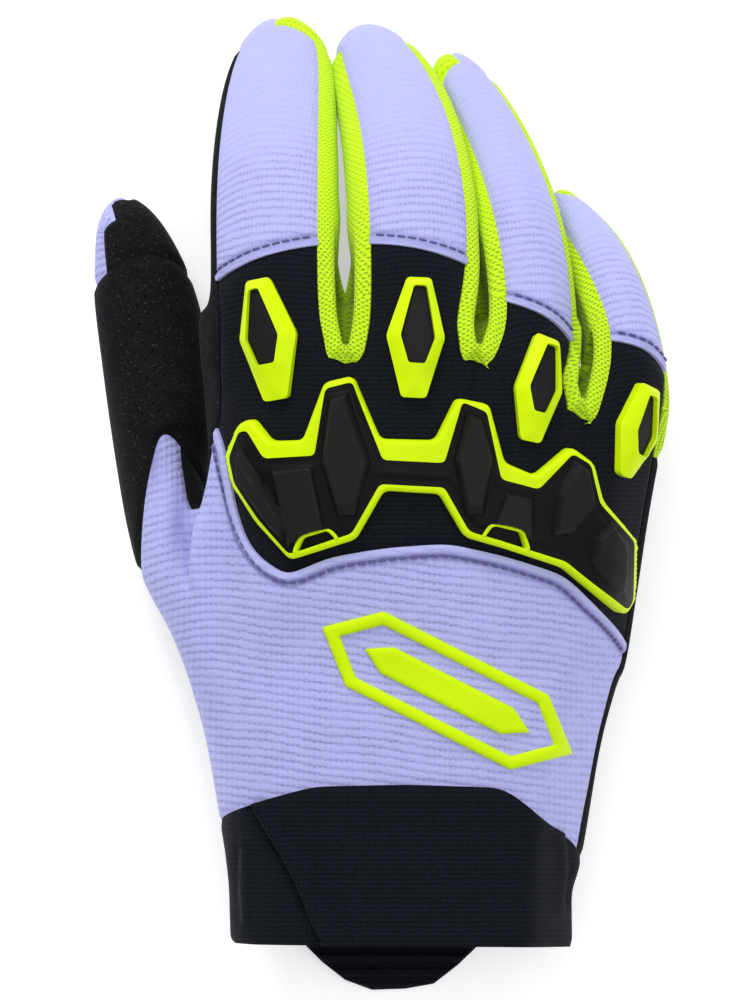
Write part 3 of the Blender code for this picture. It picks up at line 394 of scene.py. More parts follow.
def fingerTube(cage, finger, root):
    # Bands from the crotch to the tip, which six faces close.
    last, heading, distance = tubeBands(
        cage, table(fingerSections[finger]), root, fingerRoll[finger], fingerAngles[finger], {},
        lambda column, section: fingerPiece(finger, column, section > 0), level=True)
    tip = heading * fingerTip[finger] * handLength
    top, bottom = cage.points[last[1]].copy(), cage.points[last[6]].copy()
    cage.points[last[1]] = top + tip * tipValues["rise"]
    cage.points[last[6]] = bottom + tip * tipValues["rise"]
    upper, lower = cage.add([top.lerp(bottom, tipValues[half]) + tip for half in ("upper", "lower")])
    back, right, left = (fingerPiece(finger, c, True) for c in (0, 3, 8))
    overRight, overLeft = (back if side in tipCover[finger] else strip
                           for side, strip in (("right", right), ("left", left)))
    corners = dict(zip(("lEnd", "crown", "rEnd", "r1", "r2", "r3", "under", "l3", "l2", "l1"), last))
    corners.update(upper=upper, lower=lower)
    for names, piece in (("crown rEnd r1 upper", overRight), ("upper r1 r2 lower", right),
                         ("lower r2 r3 under", right), ("lEnd crown upper l1", overLeft),
                         ("l1 upper lower l2", left), ("l2 lower under l3", left)):
        capFace(cage, tuple(corners[n] for n in names.split()), piece, distance)


def thumbTube(cage, hole):
    # Bands from the hand to the tip, which nine faces close.
    last, heading, distance = tubeBands(
        cage, table(thumbSections), hole, 0.0, thumbAngles, thumbStaggers, thumbPiece)
    tip = heading * tipValues["thumb"] * handLength
    a, b, c, d = (cage.points[last[i]] for i in (10, 1, 4, 7))
    g = cage.add([a.lerp(b, u).lerp(d.lerp(c, u), v) + tip for v in (1 / 3, 2 / 3) for u in (1 / 3, 2 / 3)])
    grid = [[last[10], last[11], last[0], last[1]], [last[9], g[0], g[1], last[2]],
            [last[8], g[2], g[3], last[3]], [last[7], last[6], last[5], last[4]]]
    for v in range(3):
        for u in range(3):
            face = (grid[v][u], grid[v][u + 1], grid[v + 1][u + 1], grid[v + 1][u])
            piece = "thumb_front" if v == 0 and u > 0 or u == 2 else "thumb_back"
            capFace(cage, face, piece, distance)


def gloveCage():
    cage = Cage()
    names, rings, webs = [], [], []
    for row in table(handSections):
        points, web = handRing(row)
        names.append(row["section"])
        rings.append(cage.add(points))
        webs.append(web)
    for r, section in enumerate(names[:-1]):
        skip = (25, 26, 27) if section in ("heel", "palm", "back") else ()
        cage.band(rings[r], rings[r + 1], heights(cage, rings[r]), heights(cage, rings[r + 1]),
                  lambda c: handPiece(section, c), skip)
    crotch, web = rings[-1], cage.add(webs[-1])
    for number, finger in enumerate(fingers):
        first, low = 4 * number, 18 + 2 * (3 - number)
        right = [crotch[first + 3], web[number], crotch[low - 1]] if number < 3 else crotch[15:18]
        left = [crotch[low + 1], web[number - 1], crotch[first - 1]] if number else crotch[25:28]
        fingerTube(cage, finger, crotch[first:first + 3] + right + [crotch[low]] + left)
    heel, palm, back, seam = (rings[names.index(n)] for n in ("heel", "palm", "back", "seam"))
    thumbTube(cage, [back[0], seam[0], seam[27], seam[26], seam[25], back[25],
                     palm[25], heel[25], heel[26], heel[27], heel[0], palm[0]])
    return cage


def treeOf(places, quads):
    return BVHTree.FromPolygons(places.tolist(), quads.tolist())


def dropped(tree, x, y):
    # Where a plumb line at (x, y) meets the skin from above, or None beside it.
    return tree.ray_cast(Vector((x, y, 1.0)), Vector((0, 0, -1)))[0]


tongueValues = {"radius": 0.0040, "low": 0.0030, "narrowest": 0.3,
                "ends": ((-0.132, 0.545), (0.158, 0.545), (0.381, 0.470))}


def roundTongues(places, quads):
    # Ends each mesh tongue in a half circle: above its end the place across is multiplied by
    # sqrt(1 - (1 - t)^2), t the height over the end in radii; heights are read off the old skin.
    old, r, low, least = treeOf(places, quads), *(tongueValues[k] for k in ("radius", "low", "narrowest"))
    for x, y in tongueValues["ends"]:
        dx, dy = places[:, 0] - x * palmWidth, places[:, 1] - y * handLength
        above = np.sqrt(np.maximum(1 - (1 - np.clip(dy / r, 0, 1)) ** 2, 0))
        share = least + (1 - least) * np.where(dy >= 0, above, np.clip(-dy / low, 0, 1))
        side = np.abs(dx)
        moved = np.where(side < r, side * share, r * share + (side - r) * (2 - share))
        for n in np.flatnonzero((side < 2 * r) & (dy > -low) & (dy < r) & (places[:, 2] > topSide)):
            places[n] = dropped(old, x * palmWidth + math.copysign(moved[n], dx[n]), places[n, 1])
    return places


seamSlides = (
    # place seen from above, reach, shift: the seam beside the first block (three), the palm's tip
    # between thumb and hand, the top of the lilac gusset, and the seam down the little side (four)
    ((-0.0425, 0.0780), 0.0105, (-0.0020, 0.0, 0.0)),
    ((-0.0385, 0.0640), 0.0170, (-0.0050, -0.0012, 0.0)),
    ((-0.0385, 0.0520), 0.0130, (-0.0026, -0.0010, 0.0)),
    ((-0.0487, 0.0640), 0.0115, (0.0, 0.0020, 0.0)),
    ((-0.0552, 0.0790), 0.0080, (0.0, 0.0023, 0.0)),
    ((0.0450, 0.0300), 0.0150, (0.0, 0.0, -0.0026)),
    ((0.0425, 0.0170), 0.0150, (0.0, 0.0, -0.0026)),
    ((0.0400, 0.0040), 0.0150, (0.0, 0.0, -0.0026)),
    ((0.0370, -0.0090), 0.0120, (0.0, 0.0, -0.0020)),
)


def slideSeams(places, quads):
    # Slides the skin within itself: each point moves by shift (1 - (away / reach)^2)^2 and is
    # then put back on the old skin.
    for (x, y), reach, shift in seamSlides:
        old = treeOf(places, quads)
        away = np.linalg.norm(places - np.array(dropped(old, x, y)), axis=1) / reach
        share = (1 - np.minimum(away, 1) ** 2) ** 2
        for n in np.flatnonzero(away < 1):
            places[n] = old.find_nearest(Vector(places[n]) + Vector(shift) * share[n])[0]
    return places


cuffCorner = 0.0030


def roundCuff(places):
    # Turns the cuff's lower left corner in by a circle of radius r: x moves by
    # r - sqrt(r^2 - (r - height over the end)^2), fading out over three radii.
    r = cuffCorner
    low = places[places[:, 1] < 0]
    left, end = low[:, 0].min(), low[:, 1].min()
    up = np.clip((places[:, 1] - end) / r, 0, 1)
    fade = np.clip(1 - (places[:, 0] - left) / (3 * r), 0, 1)
    places[:, 0] += r * (1 - np.sqrt(1 - (1 - up) ** 2)) * fade
    return places


def readAll(items, name, width, kind=float):
    # One property of all of a mesh's items, as an array with width values in a row.
    values = np.empty(len(items) * width, dtype=kind)
    items.foreach_get(name, values)
    return values.reshape(-1, width) if width > 1 else values


def smoothSkin(cage, level):
    # The cage smoothed by Catmull-Clark subdivision, as arrays, pressed flat where it lies.
    mesh = bpy.data.meshes.new("cage")
    mesh.from_pydata([tuple(p) for p in cage.points], [], cage.faces)
    for _ in pieces:
        mesh.materials.append(None)
    mesh.polygons.foreach_set("material_index", cage.labels)
    cloth = mesh.uv_layers.new(name="cloth")
    cloth.data.foreach_set("uv", np.array(cage.cloth, dtype=np.float32).ravel())
    holder = bpy.data.objects.new("cage", mesh)
    bpy.context.scene.collection.objects.link(holder)
    smooth = holder.modifiers.new("Smooth", "SUBSURF")
    smooth.levels = smooth.render_levels = level
    done = bpy.data.meshes.new_from_object(holder.evaluated_get(bpy.context.evaluated_depsgraph_get()))
    bpy.data.objects.remove(holder)
    quads = readAll(done.loops, "vertex_index", 1, np.int64).reshape(-1, 4)
    places = roundTongues(readAll(done.vertices, "co", 3), quads)
    places = roundCuff(slideSeams(places, quads))
    places[:, 2] = np.maximum(places[:, 2], 0.0)
    done.vertices.foreach_set("co", places.ravel())
    done.update()
    arrays = {"places": places, "normals": readAll(done.vertex_normals, "vector", 3), "quads": quads,
              "labels": readAll(done.polygons, "material_index", 1, np.int64),
              "uvs": readAll(done.uv_layers[0].data, "uv", 2).reshape(-1, 4, 2)}
    bpy.data.meshes.remove(done)
    return arrays


skin = smoothSkin(gloveCage(), smoothness["level"])
print("skin smoothed:", len(skin["quads"]), "faces")


def sidesOf(faces):
    # Every side of every face, as pairs of corners.
    return np.stack([faces, np.roll(faces, -1, 1)], -1).reshape(-1, 2)


def borderSides(faces, count):
    # All sides, and which of them no other face has the other way round.
    ends = sidesOf(faces)
    return ends, ~np.isin(ends @ (count, 1), ends @ (1, count))


def seamEdges():
    # Every edge of the skin whose two faces belong to different panels, or that has one face.
    labels, count, ends = skin["labels"], len(skin["places"]), sidesOf(skin["quads"])
    owner = np.repeat(labels, 4)
    key = ends.min(1) * count + ends.max(1)
    order = np.argsort(key, kind="stable")
    key, ends, owner = key[order], ends[order], owner[order]
    paired = np.flatnonzero(key[1:] == key[:-1])
    apart = paired[owner[paired] != owner[paired + 1]]
    alone = np.ones(len(key), dtype=bool)
    alone[paired] = alone[paired + 1] = False
    alone = np.flatnonzero(alone)
    return (np.concatenate([ends[apart], ends[alone]]), np.concatenate([owner[apart], owner[alone]]),
            np.concatenate([owner[apart + 1], np.full(len(alone), -1)]))


seamEnds, seamFrom, seamTo = seamEdges()


def seamsOf(piece, neighbours=None):
    # The seam edges of a panel, all of them or those towards the named neighbours.
    number = label[piece]
    other = np.where(seamFrom == number, seamTo, seamFrom)
    mine = (seamFrom == number) | (seamTo == number)
    if neighbours is not None:
        mine &= np.isin(other, [label.get(n, -1) for n in neighbours])
    return seamEnds[mine]


def gapTo(points, a, b, batch):
    # Shortest distance from each point to the straight edges from a to b, a batch at a time.
    run, gap = b - a, np.empty(len(points))
    square = np.maximum((run ** 2).sum(1), 1e-16)
    for first in range(0, len(points), batch):
        p = points[first:first + batch, None, :]
        share = np.clip(((p - a) * run).sum(2) / square, 0, 1)
        gap[first:first + batch] = np.sqrt(((p - a - share[..., None] * run) ** 2).sum(2).min(1))
    return gap


def seamDistance(points, piece, neighbours=None):
    edges = seamsOf(piece, neighbours)
    return gapTo(points, *skin["places"][edges.T], 1500) if len(edges) else np.ones(len(points))


def bump(x, width):
    # exp(-(x / width)^2)
    return np.exp(-(x / width) ** 2)


def step(x, low, high):
    # Smooth rise from 0 at low to 1 at high: 3t^2 - 2t^3.
    t = np.clip((x - low) / (high - low), 0, 1)
    return t * t * (3 - 2 * t)


def wrinkles(p, seed, scale=1.0):
    # A sum of six slow waves in unlike directions, from -1 to 1.
    random = np.random.default_rng(seed)
    total = np.zeros(len(p))
    for number in range(6):
        direction = random.normal(size=3)
        direction *= 2 * math.pi / (scale * (0.012 + 0.006 * number)) / np.linalg.norm(direction)
        total += np.sin(p @ direction + random.uniform(0, 6.3)) / 6
    return total


def makeMesh(name, points, faces, uvs=None):
    # faces is an array of rows of three or four corners; uvs has a pair for every corner.
    mesh = bpy.data.meshes.new(name)
    size = faces.shape[1]
    mesh.vertices.add(len(points))
    mesh.vertices.foreach_set("co", np.ascontiguousarray(points, dtype=np.float32).ravel())
    mesh.loops.add(faces.size)
    mesh.loops.foreach_set("vertex_index", np.ascontiguousarray(faces, dtype=np.int32).ravel())
    mesh.polygons.add(len(faces))
    mesh.polygons.foreach_set("loop_start", np.arange(0, faces.size, size, dtype=np.int32))
    if uvs is not None:
        layer = mesh.uv_layers.new(name="cloth")
        layer.data.foreach_set("uv", np.ascontiguousarray(uvs, dtype=np.float32).ravel())
    mesh.update(calc_edges=True)
    mesh.validate()
    mesh.shade_smooth()
    return mesh


def showPiece(name, mesh, finish, nodes, sharp=None):
    piece = bpy.data.objects.new(name.replace(" ", "-"), mesh)
    bpy.context.scene.collection.objects.link(piece)
    mesh.materials.append(finish)
    if sharp:
        mesh.set_sharp_from_angle(angle=math.radians(sharp))
    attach(piece, "root")
    if nodes:
        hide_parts(*nodes)


def node(tree, kind, inputs=None, **settings):
    # Adds a node; inputs are values or the sockets that feed it, by name or number.
    made = tree.nodes.new(kind)
    for key, value in settings.items():
        setattr(made, key, value)
    for key, value in (inputs or {}).items():
        if isinstance(value, bpy.types.NodeSocket):
            tree.links.new(value, made.inputs[key])
        else:
            made.inputs[key].default_value = value
    return made


def linear(code):
    # sRGB hex to linear: c / 12.92 below 0.04045, else ((c + 0.055) / 1.055)^2.4.
    parts = [int(code[i:i + 2], 16) / 255 for i in (0, 2, 4)]
    return tuple(c / 12.92 if c <= 0.04045 else ((c + 0.055) / 1.055) ** 2.4 for c in parts) + (1.0,)


def dimmed(code, share):
    return tuple(c * share for c in linear(code)[:3]) + (1.0,)


def newFinish(name, roughness, ior, gloss, sheen=0.0, sheenRoughness=0.5, sheenTint="FFFFFF"):
    finish = bpy.data.materials.new(name)
    finish.use_nodes = True
    shader = finish.node_tree.nodes["Principled BSDF"]
    for socket, value in (("Roughness", roughness), ("IOR", ior), ("Specular IOR Level", gloss),
                          ("Sheen Weight", sheen), ("Sheen Roughness", sheenRoughness),
                          ("Sheen Tint", linear(sheenTint))):
        shader.inputs[socket].default_value = value
    return finish, finish.node_tree, shader


def calc(tree, operation, *values):
    # One step of arithmetic on numbers or sockets, as a socket.
    return node(tree, "ShaderNodeMath", dict(enumerate(values)), operation=operation).outputs[0]


def times(tree, a, b):
    return calc(tree, "MULTIPLY", a, b)


def pointValue(tree, name):
    return node(tree, "ShaderNodeAttribute", attribute_name=name).outputs["Fac"]


def mixed(tree, share, low, high):
    # Colour going from low to high as share goes from 0 to 1.
    return node(tree, "ShaderNodeMix", {"Factor": share, 6: low, 7: high}, data_type="RGBA").outputs[2]


def clothPlace(tree, across, lengthwise):
    # Place on the cloth counted in stitches: (u / across, v / lengthwise).
    place = node(tree, "ShaderNodeSeparateXYZ", {0: node(tree, "ShaderNodeUVMap", uv_map="cloth").outputs[0]})
    return times(tree, place.outputs[0], 1 / across), times(tree, place.outputs[1], 1 / lengthwise)


def wave(tree, phase, offset=0.0):
    # 0.5 + 0.5 cos(2 pi (phase + offset)), one hump for each whole step of phase.
    turned = calc(tree, "MULTIPLY_ADD", phase, 2 * math.pi, 2 * math.pi * offset)
    return calc(tree, "MULTIPLY_ADD", calc(tree, "COSINE", turned), 0.5, 0.5)


def staggered(tree, u, v):
    # Round humps in rows, every other row half a step over: the higher of two crossed waves.
    straight = times(tree, wave(tree, u), wave(tree, v))
    between = times(tree, wave(tree, u, 0.5), wave(tree, v, 0.5))
    return calc(tree, "MAXIMUM", straight, between)


def ramp(tree, value, low, high):
    # Rise from 0 at low to 1 at high, held outside.
    made = node(tree, "ShaderNodeMapRange", {"Value": value, "From Min": low, "From Max": high}, clamp=True)
    return made.outputs[0]


def fibre(tree, size, detail=3.0):
    # Fine uneven fuzz of the given size in metres, from 0 to 1.
    where = node(tree, "ShaderNodeTexCoord").outputs["Object"]
    return node(tree, "ShaderNodeTexNoise", {"Vector": where, "Scale": 1 / size, "Detail": detail}).outputs[0]


def relief(tree, shader, height, depth, before=None):
    # Tips the surface by height, which spans depth metres from 0 to 1.
    made = node(tree, "ShaderNodeBump", {"Height": height, "Distance": depth, "Strength": 1.0})
    if before is not None:
        tree.links.new(before, made.inputs["Normal"])
    tree.links.new(made.outputs[0], shader.inputs["Normal"])
    return made.outputs[0]


lilacKnitValues = {
    "shine": {"roughness": 0.9, "ior": 1.46, "gloss": 0.25, "sheen": 0.15, "sheenRoughness": 0.45},
    # seam is the violet that painted shade darkens the cloth to, along the hem's stitch groove and in the
    # thumb crease
    "face": "B9B9F0", "groove": "8F90CC", "seam": "6E6AAA", "rib": 0.0019, "dot": 0.00125, "depth": 0.00030,
    "holeShare": 0.36, "loopShare": 0.30, "fuzz": 0.00035, "fuzzShare": 0.35, "fuzzDepth": 0.00012,
    "swaySize": 0.0016, "sway": 0.42, "patchSize": 0.0045, "patchShare": 0.55,
}


def lilacRibKnit():
    # Ribbed polyester knit, brushed: soft raised rows, matt with a bright nap at grazing light,
    # and narrow grooves between the rows that show as lines of small dark holes.
    values = lilacKnitValues
    finish, tree, shader = newFinish("lilac rib knit", **values["shine"])
    u, v = clothPlace(tree, values["dot"], values["rib"])
    v = calc(tree, "MULTIPLY_ADD", fibre(tree, values["swaySize"], 1.0), values["sway"], v)
    groove = calc(tree, "POWER", wave(tree, v), 2.5)
    hole = times(tree, groove, ramp(tree, wave(tree, u), 0.25, 0.85))
    depth = times(tree, calc(tree, "ADD", hole, groove), values["holeShare"])
    patchy = ramp(tree, fibre(tree, values["patchSize"], 2.0), 0.30, 0.62)
    kept = calc(tree, "MULTIPLY_ADD", patchy, values["patchShare"], 1 - values["patchShare"])
    depth = times(tree, times(tree, depth, pointValue(tree, "ribbing")), kept)
    fuzz = fibre(tree, values["fuzz"])
    shade = ramp(tree, calc(tree, "ADD", depth, times(tree, fuzz, values["fuzzShare"])), 0.08, 1.15)
    tint = mixed(tree, shade, linear(values["face"]), linear(values["groove"]))
    # Painted shade: the colour goes towards the seam violet where the painted shade value is high.
    colour = mixed(tree, pointValue(tree, "paintedShade"), tint, linear(values["seam"]))
    tree.links.new(colour, shader.inputs["Base Color"])
    loops = times(tree, wave(tree, u, 0.5), wave(tree, v, 0.5))
    height = calc(tree, "SUBTRACT", times(tree, loops, values["loopShare"]), depth)
    relief(tree, shader, fuzz, values["fuzzDepth"], relief(tree, shader, height, values["depth"]))
    return finish


blackKnitValues = {
    "shine": {"roughness": 0.88, "ior": 1.46, "gloss": 0.15, "sheen": 0.05, "sheenRoughness": 0.4,
              "sheenTint": "8C93B0"},
    "face": "171B27", "groove": "06070B", "course": 0.0011, "wale": 0.0009, "depth": 0.00012, "fuzz": 0.0006,
}


def blackKnit():
    # Fine jersey of dyed polyester: matt navy black with faint rows across the hand.
    values = blackKnitValues
    finish, tree, shader = newFinish("black knit", **values["shine"])
    u, v = clothPlace(tree, values["wale"], values["course"])
    stitch = times(tree, ramp(tree, wave(tree, u), -0.8, 1.0), wave(tree, v))
    fuzz = ramp(tree, fibre(tree, values["fuzz"]), 0.30, 0.70)
    shade = ramp(tree, calc(tree, "ADD", stitch, fuzz), 0.2, 1.9)
    colour = mixed(tree, shade, linear(values["groove"]), linear(values["face"]))
    tree.links.new(colour, shader.inputs["Base Color"])
    relief(tree, shader, stitch, values["depth"])
    return finish


neonMeshValues = {
    "shine": {"roughness": 0.85, "ior": 1.46, "gloss": 0.2, "sheen": 0.08},
    "face": "DCFF22", "fold": "A2D016", "foldShare": 0.45, "pit": "6C8C1C", "pitShare": 0.55,
    # slit is the dark olive that painted shade darkens the tongues' slits to
    "slit": "4C5E0C", "across": 0.0014, "lengthwise": 0.00126, "course": 0.0009, "depth": 0.00028,
    "fuzz": 0.0005, "fuzzShare": 0.4,
}


def neonMesh():
    # Spacer mesh knitted from fluorescent yarn: bright, matt, with staggered rows of small pits.
    values = neonMeshValues
    finish, tree, shader = newFinish("neon spacer mesh", **values["shine"])
    u, v = clothPlace(tree, values["across"], values["lengthwise"])
    pits = times(tree, ramp(tree, staggered(tree, u, v), 0.55, 0.95), pointValue(tree, "ribbing"))
    fuzz = fibre(tree, values["fuzz"])
    course = wave(tree, times(tree, v, values["lengthwise"] / values["course"]))
    dull = times(tree, calc(tree, "ADD", fuzz, course), values["foldShare"])
    tint = mixed(tree, dull, linear(values["face"]), linear(values["fold"]))
    tint = mixed(tree, times(tree, pits, values["pitShare"]), tint, linear(values["pit"]))
    # Painted shade: the colour goes towards the slit olive where the painted shade value is high.
    colour = mixed(tree, pointValue(tree, "paintedShade"), tint, linear(values["slit"]))
    tree.links.new(colour, shader.inputs["Base Color"])
    height = calc(tree, "SUBTRACT", times(tree, fuzz, values["fuzzShare"]), pits)
    relief(tree, shader, height, values["depth"])
    return finish


suedeValues = {
    "shine": {"roughness": 0.93, "ior": 1.45, "gloss": 0.12, "sheen": 0.08, "sheenRoughness": 0.35,
              "sheenTint": "9A9AA6"},
    "face": "1C1C1D", "nap": "0A0A0B", "napSize": 0.006, "lint": "414144", "lintSize": 0.0006,
    "pore": "020203", "pitch": 0.0042, "poreDepth": 0.0004, "fuzz": 0.0003, "fuzzDepth": 0.0001,
}


def blackSuede(name, pores):
    # Brushed synthetic suede: dull black with a soft cloudy nap and flecks of lint; air holes
    # are punched in a diagonal grid and read as small dark dots with a soft rim.
    values, before = suedeValues, None
    finish, tree, shader = newFinish(name, **values["shine"])
    tint = mixed(tree, fibre(tree, values["napSize"], 4.0), linear(values["nap"]), linear(values["face"]))
    lint = ramp(tree, fibre(tree, values["lintSize"], 2.0), 0.61, 0.76)
    tint = mixed(tree, lint, tint, linear(values["lint"]))
    if pores:
        pore = ramp(tree, staggered(tree, *clothPlace(tree, values["pitch"], values["pitch"])), 0.93, 0.98)
        tint = mixed(tree, pore, tint, linear(values["pore"]))
        before = relief(tree, shader, calc(tree, "SUBTRACT", 1.0, pore), values["poreDepth"])
    relief(tree, shader, fibre(tree, values["fuzz"]), values["fuzzDepth"], before)
    tree.links.new(tint, shader.inputs["Base Color"])
    return finish


rubberValues = {"ior": 1.52, "gloss": 0.12, "cloud": 0.012, "dull": 0.86, "channelShade": 0.25,
                "spread": (-0.06, 0.08)}


def mouldedRubber(name, code, roughness, grain, depth):
    # Injection-moulded soft rubber: satin, with the faint even grain of an etched tool, and
    # darker down in its channels, where little light comes.
    values = rubberValues
    finish, tree, shader = newFinish(name, roughness, values["ior"], values["gloss"])
    tint = mixed(tree, fibre(tree, values["cloud"], 2.0), dimmed(code, values["dull"]), linear(code))
    # Painted shade: the colour is dimmed where the channel shade value is high.
    colour = mixed(tree, pointValue(tree, "channelShade"), tint, dimmed(code, values["channelShade"]))
    tree.links.new(colour, shader.inputs["Base Color"])
    speck = fibre(tree, grain)
    low, high = (roughness + more for more in values["spread"])
    uneven = node(tree, "ShaderNodeMapRange", {"Value": speck, "To Min": low, "To Max": high})
    tree.links.new(uneven.outputs[0], shader.inputs["Roughness"])
    relief(tree, shader, speck, depth)
    return finish


threadValues = {"code": "5E5996", "dull": 0.6, "twist": 0.0004, "depth": 0.00005}


def sewingThread():
    # Twisted polyester thread: a soft shine broken by the twist.
    values = threadValues
    finish, tree, shader = newFinish("mauve sewing thread", 0.6, 1.5, 0.5, sheen=0.2)
    twist = fibre(tree, values["twist"])
    colour = mixed(tree, twist, dimmed(values["code"], values["dull"]), linear(values["code"]))
    tree.links.new(colour, shader.inputs["Base Color"])
    relief(tree, shader, twist, values["depth"])
    return finish


lilac, knit, neonCloth, mauveThread = lilacRibKnit(), blackKnit(), neonMesh(), sewingThread()
suede, plainSuede = blackSuede("perforated suede", True), blackSuede("palm suede", False)
neonRubber = mouldedRubber("neon moulded rubber", "DAFA00", 0.46, 0.0006, 0.00002)
blackRubber = mouldedRubber("black moulded rubber", "1B1B1D", 0.5, 0.0005, 0.00003)
neonFilm = mouldedRubber("neon printed transfer", "D6FA00", 0.55, 0.0008, 0.00001)
print("finishes made")

finishOf = {piece: lilac for piece in pieces}
finishOf.update({piece: neonCloth for piece in meshStrips + ("side_wall_little",)})
finishOf.update(cuff=knit, knuckle_panel=knit, palm=plainSuede, thumb_patch=suede, thumb_front=suede)

panelValues = {
    "wall": 0.0015, "groove": 0.00045, "grooveWidth": 0.0010, "wrinkle": 0.00022,
    "knuckleGroove": 0.00035, "knuckleGrooveWidth": 0.0018, "thumbPuff": 0.0004,
}
wrinkleOf = {"palm": 2.2, "cuff": 1.8, "thumb_patch": 1.3, "thumb_front": 1.0, "thumb_back": 1.3}
hemValues = {  # folded edges towards the knuckles: width, height, and the stitch line beside them, with the shade painted along it
    "back_panel": 0.0023, "finger_back": 0.0018, "height": 0.00035, "crown": 0.00025, "stitchAway": 0.0002,
    "stitchSink": 0.00030, "stitchWidth": 0.0005, "shade": 0.95, "shadeWidth": 0.0007, "ribsLeft": 0.35,
    "smoothFrom": 0.018, "smoothTo": 0.036, "smoothing": 0.72,
}
meshShape = {  # puffed strips, whose tongues have a bead along the seam and a slit between, darkened by painted shade
    "puff": 0.0005, "wrinkle": 1.4, "bead": 0.0011, "beadAway": 0.0023, "beadWidth": 0.0016,
    "slit": 0.0020, "slitFrom": 0.0036, "slitTo": 0.0050, "shade": 0.75, "shadeFrom": 0.0037,
    "shadeTo": 0.0049, "tongueTop": (0.112, 0.132), "pitFade": (0.120, 0.142), "pitLoss": 0.5,
}
cuffFolds = (
    (((-0.0361, -0.0034), (-0.0326, -0.0092), (-0.0292, -0.0149), (-0.0262, -0.0207), (-0.0246, -0.0241),
      (-0.0222, -0.0300), (-0.0202, -0.0340)), 1.4),
    (((-0.0384, -0.0138), (-0.0386, -0.0220), (-0.0384, -0.0300)), 0.5),
    (((0.0366, -0.0110), (0.0372, -0.0180), (0.0362, -0.0260)), -0.8),
)

paintedCreaseShades = (
    # painted violet shade where the lilac cloth turns away into the thumb crease: place, size, strength
    ((-0.0525, 0.0610), (0.0024, 0.0085), 0.60),
    ((-0.0585, 0.0760), (0.0022, 0.0060), 0.50),
    ((-0.0395, 0.0600), (0.0030, 0.0100), 0.12),
)
gussetFold = ((-0.0482, 0.0660), (-0.0490, 0.0600), (-0.0499, 0.0550), (-0.0502, 0.0500), (-0.0494, 0.0430))
foldValues = {"ridge": 0.0011, "ridgeAway": 0.0012, "ridgeWidth": 0.0015, "valley": 0.0012,
              "valleyAway": -0.0006, "valleyWidth": 0.0009, "lowest": 0.012}


def foldHeight(points, line, strength, ends=0.0):
    # A ridge beside a valley along a line seen from above, strength times as high as in
    # foldValues and on the other side where strength is negative; ends fades it out.
    values = foldValues
    line = np.array(line)
    a, b = line[:-1], line[1:]
    run = b - a
    p = points[:, None, :2]
    share = np.clip(((p - a) * run).sum(2) / (run ** 2).sum(1), 0, 1)
    away = p - (a + share[..., None] * run)
    gaps = np.sqrt((away ** 2).sum(2))
    nearest = gaps.argmin(1)
    row = np.arange(len(points))
    side = np.sign(run[nearest, 0] * away[row, nearest, 1] - run[nearest, 1] * away[row, nearest, 0])
    s = side * gaps[row, nearest] * np.sign(strength)
    high = (values["ridge"] * bump(s - values["ridgeAway"], values["ridgeWidth"])
            - values["valley"] * bump(s - values["valleyAway"], values["valleyWidth"]))
    if ends:
        t = (nearest + share[row, nearest]) / len(run)
        high = high * step(t, 0, ends) * (1 - step(t, 1 - ends, 1))
    return abs(strength) * high * (points[:, 2] > values["lowest"])


def meshStripShape(points, d, rough):
    # height = puff + wrinkles + tongue (bead - slit), d the distance to the seams.
    values = meshShape
    tongue = 1 - step(points[:, 1], *values["tongueTop"])
    bead = (values["bead"] * bump(d - values["beadAway"], values["beadWidth"])
            - values["slit"] * step(d, values["slitFrom"], values["slitTo"]))
    height = values["puff"] * step(d, 0.0005, 0.004) + values["wrinkle"] * rough * wrinkles(points, 5, 0.7)
    # Painted shade down the middle of each tongue, over its sunken slit.
    shade = values["shade"] * tongue * step(d, values["shadeFrom"], values["shadeTo"])
    ribbing = 1.0 - values["pitLoss"] * step(points[:, 1], *values["pitFade"])
    return height + tongue * bead * (points[:, 2] > topSide), shade, ribbing


def hemShape(piece, points):
    # height = flat hem + crown along its middle - the thread's groove beside it.
    values, onBack = hemValues, piece == "back_panel"
    hem = seamDistance(points, piece, ("knuckle_panel",))
    width = values["back_panel" if onBack else "finger_back"]
    beyond = hem - width - values["stitchAway"]
    height = (values["height"] * (1 - step(hem, width - 0.0004, width + 0.0006))
              + values["crown"] * bump(hem - width * 0.5, width * 0.45)
              - values["stitchSink"] * bump(beyond, values["stitchWidth"]))
    # Painted shade along the thread's groove.
    shade = values["shade"] * bump(beyond, values["shadeWidth"])
    ribbing = values["ribsLeft"] + (1 - values["ribsLeft"]) * step(hem, width, width + 0.0008)
    if not onBack:
        ribbing *= 1.0 - values["smoothing"] * step(hem, values["smoothFrom"], values["smoothTo"])
    return height, shade, ribbing


